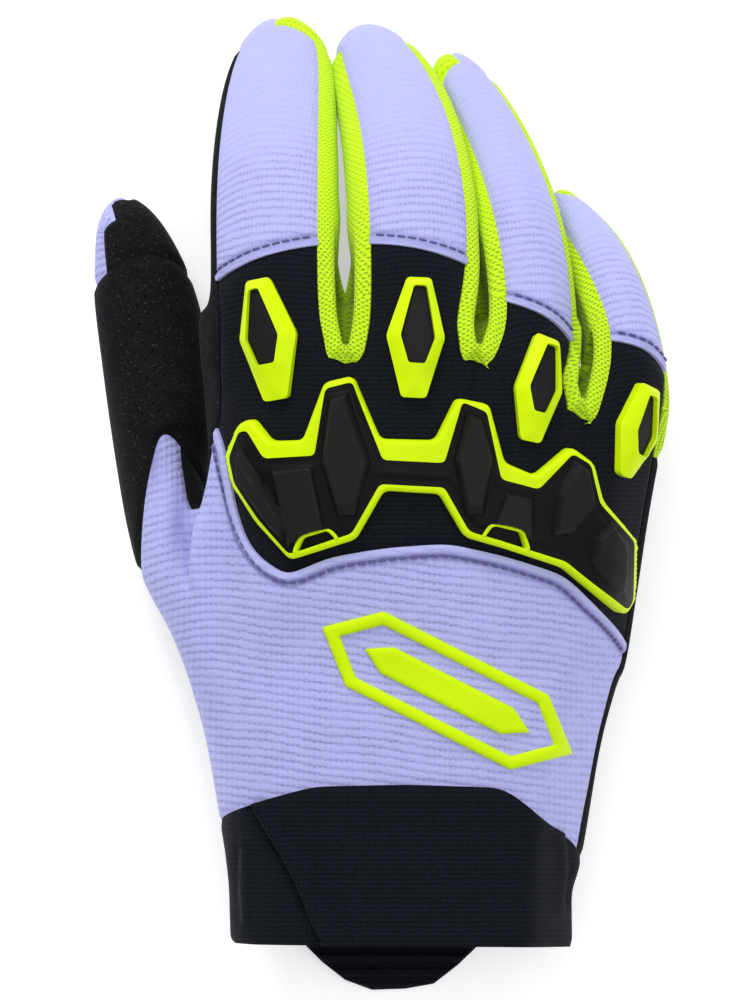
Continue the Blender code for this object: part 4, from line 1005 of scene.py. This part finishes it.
def panelShape(piece, points):
    # Height of the cloth over the smooth skin, and the two values that its finish reads: painted shade and
    # ribbing.
    values, d = panelValues, seamDistance(points, piece)
    height = -values["groove"] * bump(d, values["grooveWidth"])
    shade, ribbing = np.zeros(len(points)), np.ones(len(points))
    rough = values["wrinkle"] * wrinkleOf.get(piece, 1.0) * step(d, 0.002, 0.008)
    if piece == "knuckle_panel":
        height -= values["knuckleGroove"] * bump(d, values["knuckleGrooveWidth"])
        height += rough * (wrinkles(points, 3) - 1.0) * 0.5
    elif finishOf[piece] is neonCloth:
        more, shade, ribbing = meshStripShape(points, d, rough)
        height += more
    else:
        height += rough * wrinkles(points, label[piece] + 11, 1.2)
    if finishOf[piece] is lilac and piece != "thumb_back":
        more, shade, ribbing = hemShape(piece, points)
        height += more
    if piece == "back_panel":
        height += foldHeight(points, gussetFold, 1.3, 0.3)
        # Painted shade in the thumb crease.
        for middle, size, strength in paintedCreaseShades:
            shade += strength * np.exp(-(((points[:, :2] - middle) / size) ** 2).sum(1))
    if piece == "cuff":
        for line, strength in cuffFolds:
            height += foldHeight(points, line, strength)
    if finishOf[piece] is suede:
        height += values["thumbPuff"] * step(d, 0.0002, 0.0016)
    return height, shade, ribbing


ribValues = {"crease": -0.047, "ease": 0.0025, "fall": 0.13, "rise": 0.43, "riseFrom": 0.012, "riseTo": 0.045}


def flatRibs(places):
    # Ribs that run straight over the back: v = y + fall (x - crease), rising left of the crease.
    x, y, values = places[..., 0], places[..., 1], ribValues
    right = x - values["crease"]
    left = values["ease"] * np.log1p(np.exp(-right / values["ease"]))
    v = y + values["fall"] * right + values["rise"] * left * step(y, values["riseFrom"], values["riseTo"])
    return np.stack([x, v + 0.0003 * np.sin(x / 0.004) * np.sin(y / 0.007)], -1)


tongueCloth = {"top": 0.113, "stretch": 1.15}  # the mesh lies flat on the tongues, seen from above


def addPointValue(mesh, name, values):
    # A value for every outer point and the same for the inner point under it.
    layer = mesh.attributes.new(name, "FLOAT", "POINT")
    layer.data.foreach_set("value", np.tile(values, 2).astype(np.float32))


def sewnPanel(piece):
    # outer = skin + normal * height, inner = skin - normal * wall, joined round the border.
    rows = skin["labels"] == label[piece]
    quads, uvs = skin["quads"][rows], skin["uvs"][rows]
    corners = skin["places"][quads]
    if piece == "back_panel":
        uvs = flatRibs(corners)
    elif piece in meshStrips:
        tongue = (corners[..., 1].mean(1) < tongueCloth["top"]) & (corners[..., 2].mean(1) > topSide)
        uvs = np.where(tongue[:, None, None], corners[..., :2] * tongueCloth["stretch"], uvs)
    used, index = np.unique(quads, return_inverse=True)
    index = index.reshape(-1, 4)
    points, normals = skin["places"][used], skin["normals"][used]
    height, shade, ribbing = panelShape(piece, points)
    outer = points + normals * height[:, None]
    inner = points - normals * panelValues["wall"]
    endUvs = np.stack([uvs, np.roll(uvs, -1, 1)], 2).reshape(-1, 2, 2)
    ends, border = borderSides(index, len(used))
    a, b = ends[border].T
    rims = np.stack([b, a, a + len(used), b + len(used)], 1)
    rimUvs = endUvs[border][:, [1, 0, 0, 1]]
    faces = np.concatenate([index, index[:, ::-1] + len(used), rims])
    mesh = makeMesh(piece, np.concatenate([outer, inner]), faces,
                    np.concatenate([uvs, uvs[:, ::-1], rimUvs]).reshape(-1, 2))
    # The painted shade value, read by the lilac and neon finishes.
    addPointValue(mesh, "paintedShade", shade)
    addPointValue(mesh, "ribbing", ribbing)
    finish = finishOf[piece]
    showPiece(piece.replace("_", " "), mesh, finish, [piece], sharp=50)


for piece in pieces:
    sewnPanel(piece)
print("panels sewn")


skinTree = treeOf(skin["places"], skin["quads"])
gridStep, gridMargin = 0.001, 0.004


def heightGrid():
    # Heights of the upper skin on a grid seen from above, 0 beside it.
    low = skin["places"].min(0)[:2] - gridMargin
    count = np.ceil((skin["places"].max(0)[:2] + gridMargin - low) / gridStep).astype(int) + 1
    xs, ys = (low[k] + gridStep * np.arange(count[k]) for k in (0, 1))
    hits = [[dropped(skinTree, x, y) for y in ys] for x in xs]
    return low, np.array([[h.z if h else 0.0 for h in row] for row in hits])


gridLow, grid = heightGrid()


def sampled(field, xy):
    # Bilinear value of a grid field at places seen from above.
    place = (xy - gridLow) / gridStep
    cell = np.clip(np.floor(place).astype(int), 0, np.array(grid.shape) - 2)
    u, v = (place - cell).T
    i, j = cell.T
    shape = (-1,) + (1,) * (field.ndim - 2)
    u, v = u.reshape(shape), v.reshape(shape)
    return ((1 - u) * (1 - v) * field[i, j] + u * (1 - v) * field[i + 1, j]
            + (1 - u) * v * field[i, j + 1] + u * v * field[i + 1, j + 1])


slopeX, slopeY = np.gradient(grid, gridStep)
gridNormals = np.dstack([-slopeX, -slopeY, np.ones_like(grid)])
gridNormals /= np.linalg.norm(gridNormals, axis=2)[..., None]


def evenedOut(field, reach):
    # Moving average over reach cells to each side, twice each way.
    kernel = np.ones(2 * reach + 1) / (2 * reach + 1)
    for axis in (0, 1, 0, 1):
        field = np.apply_along_axis(lambda line: np.convolve(
            np.pad(line, reach, mode="edge"), kernel, "valid"), axis, field)
    return field


softGrid = evenedOut(grid, 2)
softNormals = np.dstack([evenedOut(gridNormals[..., k], 3) for k in range(3)])


def laid(xy, lift, heights=grid, tilts=gridNormals):
    # The point lift metres off the skin over each place.
    xy = np.asarray(xy, dtype=float)
    normal = sampled(tilts, xy)
    normal /= np.linalg.norm(normal, axis=1)[:, None]
    return np.column_stack([xy, sampled(heights, xy)]) + normal * np.reshape(lift, (-1, 1))


def spread(rows, size, place, turn=0.0, heads=("x", "y")):
    # A table's outline in metres, turned by turn degrees and moved to its place on the hand.
    c, s = math.cos(math.radians(turn)), math.sin(math.radians(turn))
    flat = np.array([(row[heads[0]], row[heads[1]]) for row in table(rows)]) * size
    return flat @ np.array(((c, s), (-s, c))) + np.array(place) * (palmWidth, handLength)


def rounded(outline, radius, cuts=5):
    # Each corner replaced by a curve that starts radius before it and ends radius after it:
    # (1 - t)^2 before + 2 t (1 - t) corner + t^2 after.
    before, after = np.roll(outline, 1, 0), np.roll(outline, -1, 0)
    back, on = before - outline, after - outline
    backLength, onLength = np.linalg.norm(back, axis=1), np.linalg.norm(on, axis=1)
    reach = np.minimum(radius, np.minimum(backLength, onLength) * 0.45)[:, None]
    p, q = outline + back / backLength[:, None] * reach, outline + on / onLength[:, None] * reach
    t = np.linspace(0, 1, cuts)[None, :, None]
    curves = (1 - t) ** 2 * p[:, None] + 2 * t * (1 - t) * outline[:, None] + t ** 2 * q[:, None]
    return curves.reshape(-1, 2)


def evenly(outline, spacing):
    # The closed outline with its long sides cut so that no side is longer than spacing.
    parts = []
    for a, b in zip(outline, np.roll(outline, -1, 0)):
        cuts = max(1, math.ceil(np.linalg.norm(b - a) / spacing))
        parts.append(a + (b - a) * np.arange(cuts)[:, None] / cuts)
    return np.concatenate(parts)


def widened(outline, reach):
    # The outline with every point moved out by reach from its middle.
    middle = outline.mean(0)
    away = outline - middle
    return middle + away * (1 + reach / np.linalg.norm(away, axis=1))[:, None]


def inside(xy, outline):
    # Whether each place is inside the outline, by counting crossed sides.
    x, y = xy[:, 0, None], xy[:, 1, None]
    (ax, ay), (bx, by) = outline.T, np.roll(outline, -1, 0).T
    crossed = (ay > y) != (by > y)
    with np.errstate(divide="ignore", invalid="ignore"):
        at = ax + (y - ay) / (by - ay) * (bx - ax)
    return (crossed & (x < at)).sum(1) % 2 == 1


def depthIn(xy, outline):
    # Distance to the outline, positive inside it and negative outside.
    gap = gapTo(xy, outline, np.roll(outline, -1, 0), 4000)
    return np.where(inside(xy, outline), gap, -gap)


def drawn(rows, size, place, radius, spacing, turn=0.0, heads=("x", "y")):
    # A table's outline on the hand, its corners rounded and its long sides cut.
    return evenly(rounded(spread(rows, size, place, turn, heads), radius), spacing)


def honeycomb(low, high, spacing):
    # Places in staggered rows, so that the net between them is even.
    x = np.arange(low[0], high[0], spacing)
    y = np.arange(low[1], high[1], spacing * math.cos(math.radians(30)))
    gx, gy = np.meshgrid(x, y)
    gx = gx + (np.arange(len(y)) % 2)[:, None] * spacing / 2
    return np.column_stack([gx.ravel(), gy.ravel()])


nearest = {"area": 0.45, "crease": 0.4}  # how near the net's points come to lines, in spacings


def meshed(area, holes, creases, spacing):
    # A flat net of triangles inside area and outside the holes, with edges along the creases.
    loops = [area] + holes + creases
    cloud = honeycomb(area.min(0), area.max(0), spacing)
    keep = depthIn(cloud, area) > spacing * nearest["area"]
    for loop in loops[1:]:
        keep &= np.abs(depthIn(cloud, loop)) > spacing * nearest["crease"]
    for hole in holes:
        keep &= ~inside(cloud, hole)
    points, edges = [cloud[keep]], []
    first = int(keep.sum())
    for loop in loops:
        edges += [(first + i, first + (i + 1) % len(loop)) for i in range(len(loop))]
        points.append(loop)
        first += len(loop)
    flat, _, faces, *_ = geometry.delaunay_2d_cdt(
        [Vector(p) for p in np.concatenate(points).tolist()], edges, [], 0, 1e-7)
    flat = np.array([tuple(p) for p in flat])
    faces = np.array([f for f in faces if len(f) == 3])
    middle = flat[faces].mean(1)
    keep = inside(middle, area)
    for hole in holes:
        keep &= ~inside(middle, hole)
    return flat, faces[keep]


def moulded(name, flat, faces, lift, bottom, finish, nodes, sharp=None, channelShade=None):
    # A solid whose top stands lift off the skin and whose underside stands bottom off it.
    used, index = np.unique(faces, return_inverse=True)
    flat, faces = flat[used], index.reshape(-1, 3)
    a, b, c = flat[faces[:, 0]], flat[faces[:, 1]], flat[faces[:, 2]]
    turned = (b - a)[:, 0] * (c - a)[:, 1] - (b - a)[:, 1] * (c - a)[:, 0] < 0
    faces[turned] = faces[turned][:, ::-1]
    count = len(flat)
    ends, border = borderSides(faces, count)
    p, q = ends[border].T
    sides = np.concatenate([np.stack([q, p, p + count], 1), np.stack([q, p + count, q + count], 1)])
    points = np.concatenate([laid(flat, lift(flat), softGrid, softNormals), laid(flat, bottom)])
    solid = np.concatenate([faces, faces[:, ::-1] + count, sides])
    made = makeMesh(name, points, solid)
    if channelShade is not None:
        addPointValue(made, "channelShade", channelShade(lift(flat)))
    showPiece(name, made, finish, nodes, sharp)


def soft(x, low, high):
    # Straight rise from 0 at low to 1 at high, its two ends eased by parabolas of length 2 e.
    t, e = (x - low) / (high - low), 0.12
    return np.where(t < -e, 0, np.where(t < e, (t + e) ** 2 / (4 * e),
                    np.where(t < 1 - e, t, np.where(t < 1 + e, 1 - (1 + e - t) ** 2 / (4 * e), 1))))


seated = -0.0004  # how far the undersides stand off the smooth skin: sunk a little into the cloth
edgeStep = 0.0005  # longest side along an edge
guardValues = {
    "neonTop": 0.0028, "neonEdge": 0.0009, "blackFoot": 0.0024, "blackTop": 0.0032, "shoulder": 0.0026,
    "blockRise": 0.0024, "blockRoot": 0.0004, "blockChamfer": 0.0011, "facetLength": 0.0042,
    "facetFall": 0.75, "flatRise": 0.0009, "flatChamfer": 0.0007, "windowFloor": 0.0004,
    "beadWidth": 0.0009, "beadTop": 0.0034, "beadRound": 0.0004, "frameRadius": 0.0014, "slabRadius": 0.0011,
    "windowRadius": 0.0008, "frameSpacing": 0.0006, "spacing": 0.00034,
}
guardFlats = {
    "first": (("x", "y"), (-0.384, 0.0), (-0.291, 0.013), (-0.257, -0.158), (-0.335, -0.180),
              (-0.348, -0.194), (-0.364, -0.116)),
    "second": (("x", "y"), (0.172, -0.051), (0.236, -0.066), (0.235, -0.173), (0.215, -0.167),
               (0.140, -0.148), (0.133, -0.141)),
}
guardWindows = {
    "first": (("x", "y"), (-0.330, -0.200), (-0.318, -0.171), (-0.310, -0.164), (-0.260, -0.148),
              (-0.252, -0.151), (-0.236, -0.168)),
    "second": (("x", "y"), (0.120, -0.163), (0.138, -0.137), (0.148, -0.135), (0.200, -0.148),
               (0.208, -0.153), (0.221, -0.193)),
}
blockFacets = {  # upper edge of the slanted face at each block's lower end
    "first": ((-0.364, -0.150), (-0.336, -0.150)), "second": ((-0.228, -0.085), (-0.185, -0.078)),
    "third": ((0.076, -0.081), (0.111, -0.083)), "fourth": ((0.270, -0.130), (0.330, -0.128)),
    "fifth": ((0.376, -0.185), (0.472, -0.276)),
}


def knuckleGuard():
    # The frame's top is neonEdge (1 - sqrt(1 - (1 - t)^2)) lower near its edge. The slab rises
    # to its shoulder, then flats and blocks stand on it, each block cut by a slanted facet.
    values, size, place = guardValues, guardWidth, guardPlace
    outer = drawn(guardOutline, size, place, values["frameRadius"], values["frameSpacing"])
    slab = drawn(slabOutline, size, place, values["slabRadius"], values["frameSpacing"])
    windows = [drawn(rows, size, place, values["windowRadius"], edgeStep) for rows in guardWindows.values()]
    blocks = {name: spread(rows, size, place) for name, rows in blockOutlines.items()}
    flats = [spread(rows, size, place) for rows in guardFlats.values()]
    shift = np.array(place) * (palmWidth, handLength)
    facets = {name: np.array(edge) * size + shift for name, edge in blockFacets.items()}

    def neonLift(xy):
        t = np.clip(depthIn(xy, outer) / values["neonEdge"], 0, 1)
        return values["neonTop"] - values["neonEdge"] * (1 - np.sqrt(1 - (1 - t) ** 2))

    def blackLift(xy):
        foot, top, root = values["blackFoot"], values["blackTop"], values["blockRoot"]
        lift = foot + (top - foot) * soft(depthIn(xy, slab), 0, values["shoulder"])
        for outline in flats:
            lift = lift + values["flatRise"] * soft(depthIn(xy, outline), 0, values["flatChamfer"])
        for name, outline in blocks.items():
            a, b = facets[name]
            run = (b - a) / np.linalg.norm(b - a)
            beyond = (xy - a) @ np.array((run[1], -run[0]))
            facet = 1 - values["facetFall"] * soft(beyond, 0, values["facetLength"])
            rise = np.minimum(soft(depthIn(xy, outline), 0, values["blockChamfer"]), facet)
            lift = np.maximum(lift, top - root + (values["blockRise"] + root) * rise)
        for window in windows:
            lift = np.where(depthIn(xy, window) > -0.0001, values["windowFloor"], lift)
        return lift

    # Painted shade: 1 on the slab's low field around the raised flats and blocks, 0 on them.
    def channelShade(lift):
        low = values["blackTop"] + 0.0001
        return 1 - step(lift, low, low - 0.0001 + values["flatRise"])

    flat, faces = meshed(outer, [slab], [], values["frameSpacing"])
    moulded("neon knuckle frame", flat, faces, neonLift, seated, neonRubber, ["knuckle_guard_frame"],
            55)
    beads = [evenly(widened(window, values["beadWidth"]), 0.0004) for window in windows]
    creases = windows + beads + [evenly(o, edgeStep) for o in list(blocks.values()) + flats]
    flat, faces = meshed(slab, [], creases, values["spacing"])
    middles = flat[faces].mean(1)
    beaded = np.zeros(len(faces), dtype=bool)
    for number, (window, bead) in enumerate(zip(windows, beads)):
        mine = inside(middles, bead) & ~inside(middles, window)
        beaded |= mine

        def beadLift(xy, window=window):
            across = np.clip(-depthIn(xy, window) / values["beadWidth"], 0, 1)
            return values["beadTop"] + values["beadRound"] * (np.sin(math.pi * across) - 1)

        moulded(f"neon window bead {number + 1}", flat, faces[mine], beadLift, 0.0002, neonRubber, [],
                55)
    moulded("black knuckle guard", flat, faces[~beaded], blackLift, seated, blackRubber,
            ["knuckle_guard"], 32, channelShade)


knuckleGuard()
print("knuckle guard moulded")

fingerGuardValues = {
    "top": 0.0033, "foot": 0.0016, "lift": 0.0003, "sides": 1.6, "slant": 1.3, "inlay": 0.0024,
    "inlayCrown": 0.0002, "inlayEdge": 0.0008, "radius": 0.0009, "inlayRadius": 0.0006, "spacing": 0.0004,
}


def fingerGuard(finger, place, rows):
    # The frame slants from its inlay down to its foot: top - (top - foot) share^slant, with share
    # the way from the inlay to the edge, under steep sides.
    values = fingerGuardValues
    outer = drawn(rows, fingerGuardLength, place, values["radius"], edgeStep)
    inlay = drawn(rows, fingerGuardLength, place, values["inlayRadius"], edgeStep, heads=("inlayX", "inlayY"))

    def lift(xy):
        out, deep = depthIn(xy, outer), np.maximum(-depthIn(xy, inlay), 0)
        share = np.clip(deep / (out + deep + 1e-9), 0, 1)
        slanted = values["top"] - (values["top"] - values["foot"]) * share ** values["slant"]
        return np.minimum(slanted, values["foot"] + values["sides"] * np.maximum(out, 0)) + values["lift"]

    def inlayLift(xy):
        return values["inlay"] + values["inlayCrown"] * soft(depthIn(xy, inlay), 0, values["inlayEdge"])

    flat, faces = meshed(outer, [inlay], [], values["spacing"])
    moulded(f"neon {finger} finger guard", flat, faces, lift, seated, neonRubber,
            [f"finger_guard_{finger}"], 38)
    flat, faces = meshed(inlay, [], [], 2 * values["spacing"])
    moulded(f"black {finger} finger inlay", flat, faces, inlayLift, 0.0, blackRubber,
            [f"finger_guard_inlay_{finger}"], 50)


for finger, (place, rows) in fingerGuards.items():
    fingerGuard(finger, place, rows)
print("finger guards moulded")

transferValues = {"height": 0.0010, "edge": 0.0006, "lowest": 0.3, "radius": 0.0005, "spacing": 0.0007}


def backTransfer():
    # height sqrt(t), t the distance to the nearest edge in shares of edge, from lowest to 1.
    values = transferValues

    def outline(rows, heads=("x", "y")):
        return drawn(rows, transferLength, transferPlace, values["radius"], 2 * edgeStep, transferTurn, heads)

    def film(name, area, holes, node):
        def lift(xy):
            nearest = np.min([np.abs(depthIn(xy, o)) for o in [area] + holes], axis=0)
            return values["height"] * np.sqrt(np.clip(nearest / values["edge"], values["lowest"], 1))

        flat, faces = meshed(area, holes, [], values["spacing"])
        moulded(name, flat, faces, lift, seated, neonFilm, [node], 60)

    film("neon transfer frame", outline(transferFrame), [outline(transferFrame, ("innerX", "innerY"))],
         "back_transfer_frame")
    film("neon transfer bar", outline(transferBar), [], "back_transfer_bar")


backTransfer()

pullTabValues = {
    "wall": 0.0020, "inside": 0.0020, "wrinkle": 0.0006, "crease": 0.0006, "creaseLength": 0.0017,
    "edge": 0.0012, "columns": 90, "rows": 40,
}


def pullTab():
    # x runs along the free edge, y goes from that edge (t = 0) to inside the cuff (t = 1). The
    # thickness is wall times full = sqrt(1 - (1 - d / edge)^2) near the edges, so they are round.
    values = pullTabValues
    end = skin["places"][:, 1].min()
    rows = np.array([(r["x"], r["y"]) for r in table(pullTabOutline)]) * pullTabWidth
    s, t = np.meshgrid(np.linspace(0, 1, values["columns"]), np.linspace(0, 1, values["rows"]), indexing="ij")
    x = rows[0, 0] + (rows[-1, 0] - rows[0, 0]) * s
    free = np.interp(x, rows[:, 0], rows[:, 1])
    y = end + free + (pullTabLap - free) * t ** 1.2
    cuffSide = [skinTree.ray_cast(Vector((a, max(b, end + 0.002), -1.0)), Vector((0, 0, 1)))[0].z
                for a, b in zip(x.ravel(), y.ravel())]
    base = np.reshape(cuffSide, x.shape) + values["inside"]
    edge = np.minimum(np.minimum(x - x.min(), x.max() - x), y - (end + free))
    full = np.sqrt(1 - (1 - np.clip(edge / values["edge"], 0, 1)) ** 2)
    away = y - end
    crease = values["crease"] * np.sin(away / values["creaseLength"] * math.pi) * bump(away + 0.002, 0.0045)
    flat = np.stack([x.ravel(), y.ravel(), base.ravel()], 1)
    soften = (values["wrinkle"] * wrinkles(flat, 77, 0.45)).reshape(x.shape)
    top = base + values["wall"] * (0.45 + 0.55 * full) + (crease + soften) * full
    low = base + values["wall"] * (0.45 - 0.45 * full)
    count = x.size
    cell = np.arange(count).reshape(x.shape)
    a, b, c, d = cell[:-1, :-1], cell[1:, :-1], cell[1:, 1:], cell[:-1, 1:]
    upper = np.stack([a, b, c, d], -1).reshape(-1, 4)
    ring = np.concatenate([cell[:-1, 0], cell[-1, :-1], cell[:0:-1, -1], cell[0, :0:-1]])
    after = np.roll(ring, -1)
    sides = np.stack([after, ring, ring + count, after + count], 1)
    points = np.concatenate([np.stack([x, y, z], -1).reshape(-1, 3) for z in (top, low)])
    faces = np.concatenate([upper, upper[:, ::-1] + count, sides])
    cloth = points[faces.ravel(), :2]
    made = makeMesh("pull tab", points, faces, cloth)
    showPiece("pull tab", made, knit, ["pull_tab"], 50)


pullTab()


def borderChains(piece, neighbours):
    # The panel's border towards its neighbours, as chains that keep the panel on their left.
    count = len(skin["places"])
    ends, border = borderSides(skin["quads"][skin["labels"] == label[piece]], count)
    mine = ends[border]
    wanted = seamsOf(piece, neighbours)
    key = np.concatenate([wanted @ (count, 1), wanted @ (1, count)])
    mine = mine[np.isin(mine @ (count, 1), key)]
    following = dict(mine.tolist())
    starts = sorted(set(following) - set(following.values())) or [min(following)]
    chains = []
    for start in starts:
        chain = [start]
        while chain[-1] in following and following[chain[-1]] != start:
            chain.append(following[chain[-1]])
        chains.append(chain)
    return chains


def smoothed(line, reach):
    # Moving average over reach points to each side, with the ends held.
    padded = np.concatenate([np.repeat(line[:1], reach, 0), line, np.repeat(line[-1:], reach, 0)])
    kernel = np.ones(2 * reach + 1) / (2 * reach + 1)
    return np.stack([np.convolve(padded[:, k], kernel, "valid") for k in range(3)], 1)


def seamPath(chain, offset, lift):
    # The chain moved offset metres into the panel along normal x direction, laid on the skin again.
    line, normals = skin["places"][chain], skin["normals"][chain]
    line = smoothed(line, 4)
    forward = np.gradient(line, axis=0)
    inward = np.cross(normals, forward)
    inward /= np.maximum(np.linalg.norm(inward, axis=1), 1e-9)[:, None]
    moved = smoothed(line + inward * offset, 4)
    found = [skinTree.find_nearest(Vector(p))[:2] for p in moved.tolist()]
    return np.array([tuple(p + n * lift) for p, n in found]), np.array([tuple(n) for _, n in found])


def resampled(line, normals, spacing):
    # Places and normals at equal steps of about spacing along a line.
    steps = np.linalg.norm(np.diff(line, axis=0), axis=1)
    run = np.concatenate([[0.0], np.cumsum(steps)])
    count = max(2, int(run[-1] / spacing))
    at = (np.arange(count) + 0.5) * run[-1] / count
    place = np.stack([np.interp(at, run, line[:, k]) for k in range(3)], 1)
    normal = np.stack([np.interp(at, run, normals[:, k]) for k in range(3)], 1)
    return place, normal / np.linalg.norm(normal, axis=1)[:, None]


def stitchBody(sides=8, rings=7):
    # One stitch along z from -0.5 to 0.5: radius (1 - (2 z)^4)^(1/2), closed at both ends.
    z = np.sin(np.linspace(-math.pi / 2, math.pi / 2, rings)) * 0.5
    radius = np.sqrt(np.maximum(1 - (2 * z) ** 4, 0.0))
    turn = 2 * math.pi * np.arange(sides) / sides
    body = np.stack([radius[1:-1, None] * np.cos(turn), radius[1:-1, None] * np.sin(turn),
                     np.repeat(z[1:-1, None], sides, 1)], -1).reshape(-1, 3)
    points = np.concatenate([[(0, 0, -0.5)], body, [(0, 0, 0.5)]])
    faces, last = [], len(points) - 1
    for k in range(sides):
        m = (k + 1) % sides
        faces.append((0, 1 + m, 1 + k))
        faces.append((last, last - sides + k, last - sides + m))
        for r in range(rings - 3):
            a, b = 1 + r * sides + k, 1 + r * sides + m
            faces += [(a, b, b + sides), (a, b + sides, a + sides)]
    return points, np.array(faces)


stitchLength, stitchLift = 0.0020, 0.00035
# panel, distance from its seam with the knuckle panel, pitch and radius of each row of stitches
stitchRows = {"back": ("back_panel", 0.0025, 0.0024, 0.00034)}
stitchRows.update({finger: (f"finger_back_{finger}", 0.0020, 0.0023, 0.00032) for finger in fingers})


def stitchRow(name, piece, offset, pitch, radius):
    # Every stitch is the same body turned to lie along its seam: p + across x + normal y + along z.
    chains = [chain for chain in borderChains(piece, ("knuckle_panel",)) if len(chain) >= 12]
    rows = [resampled(*seamPath(chain, offset, stitchLift), pitch) for chain in chains]
    places, normals = (np.concatenate(parts) for parts in zip(*rows))
    alongs = np.concatenate([np.gradient(place, axis=0) for place, _ in rows])
    alongs /= np.linalg.norm(alongs, axis=1)[:, None]
    across = np.cross(normals, alongs)
    across /= np.linalg.norm(across, axis=1)[:, None]
    body, faces = stitchBody()
    points = (places[:, None] + across[:, None] * body[:, :1] * radius
              + normals[:, None] * body[:, 1:2] * radius + alongs[:, None] * body[:, 2:] * stitchLength)
    faces = faces[None] + (np.arange(len(places)) * len(body))[:, None, None]
    mesh = makeMesh(name, points.reshape(-1, 3), faces.reshape(-1, 3))
    showPiece(name, mesh, mauveThread, [])


for word, row in stitchRows.items():
    stitchRow(f"mauve {word} stitching", *row)
print("seams stitched")

floorValues = {"half": 3.0, "height": -0.0003, "colour": "F4F4F5", "glow": 0.45}
corners = np.array(((-1, -1), (1, -1), (1, 1), (-1, 1))) * floorValues["half"]
corners = np.column_stack([corners, np.full(4, floorValues["height"])])
floorMesh = makeMesh("floor", corners, np.array([(0, 1, 2, 3)]))
paper, _, paperShader = newFinish("white studio paper", 0.9, 1.5, 0.5)
for socket, value in (("Base Color", linear(floorValues["colour"])), ("Emission Color", linear("FFFFFF")),
                      ("Emission Strength", floorValues["glow"])):
    paperShader.inputs[socket].default_value = value
floorMesh.materials.append(paper)
floor = bpy.data.objects.new("floor", floorMesh)
bpy.context.scene.collection.objects.link(floor)

# The camera stands over the hand; tall is the height of the picture in metres at the level at.
photo = {"middle": (-0.00736, 0.0667), "tall": 0.2299, "at": 0.030, "distance": 8.0, "sensor": 36.0}
camera = bpy.data.objects.new("camera", bpy.data.cameras.new("camera"))
camera.data.sensor_width = photo["sensor"]
camera.data.lens = photo["sensor"] * (photo["distance"] - photo["at"]) / photo["tall"]
camera.data.clip_end = 20.0
camera.location = (*photo["middle"], photo["distance"])
bpy.context.scene.collection.objects.link(camera)
bpy.context.scene.camera = camera

lights = (
    # name, place, size, watts: a broad soft key from beyond the fingers, a fill and one from above
    ("key", (-0.5, 1.5, 1.1), 0.9, 19.0),
    ("fill", (0.9, -0.3, 1.3), 1.2, 5.0),
    ("top", (0.1, 0.3, 1.9), 1.4, 7.0),
)
for name, place, size, watts in lights:
    lamp = bpy.data.lights.new(name, "AREA")
    lamp.shape, lamp.size, lamp.energy = "SQUARE", size, watts
    holder = bpy.data.objects.new(name, lamp)
    holder.location = place
    aim = Vector((*photo["middle"], 0.02)) - Vector(place)
    holder.rotation_euler = aim.to_track_quat("-Z", "Y").to_euler()
    bpy.context.scene.collection.objects.link(holder)
world = bpy.data.worlds.new("studio")
bpy.context.scene.world = world
world.use_nodes = True
background = world.node_tree.nodes["Background"]
background.inputs["Color"].default_value = linear("F6F7FA")
background.inputs["Strength"].default_value = 0.5
bpy.context.scene.view_settings.view_transform = "Standard"
print("studio set")
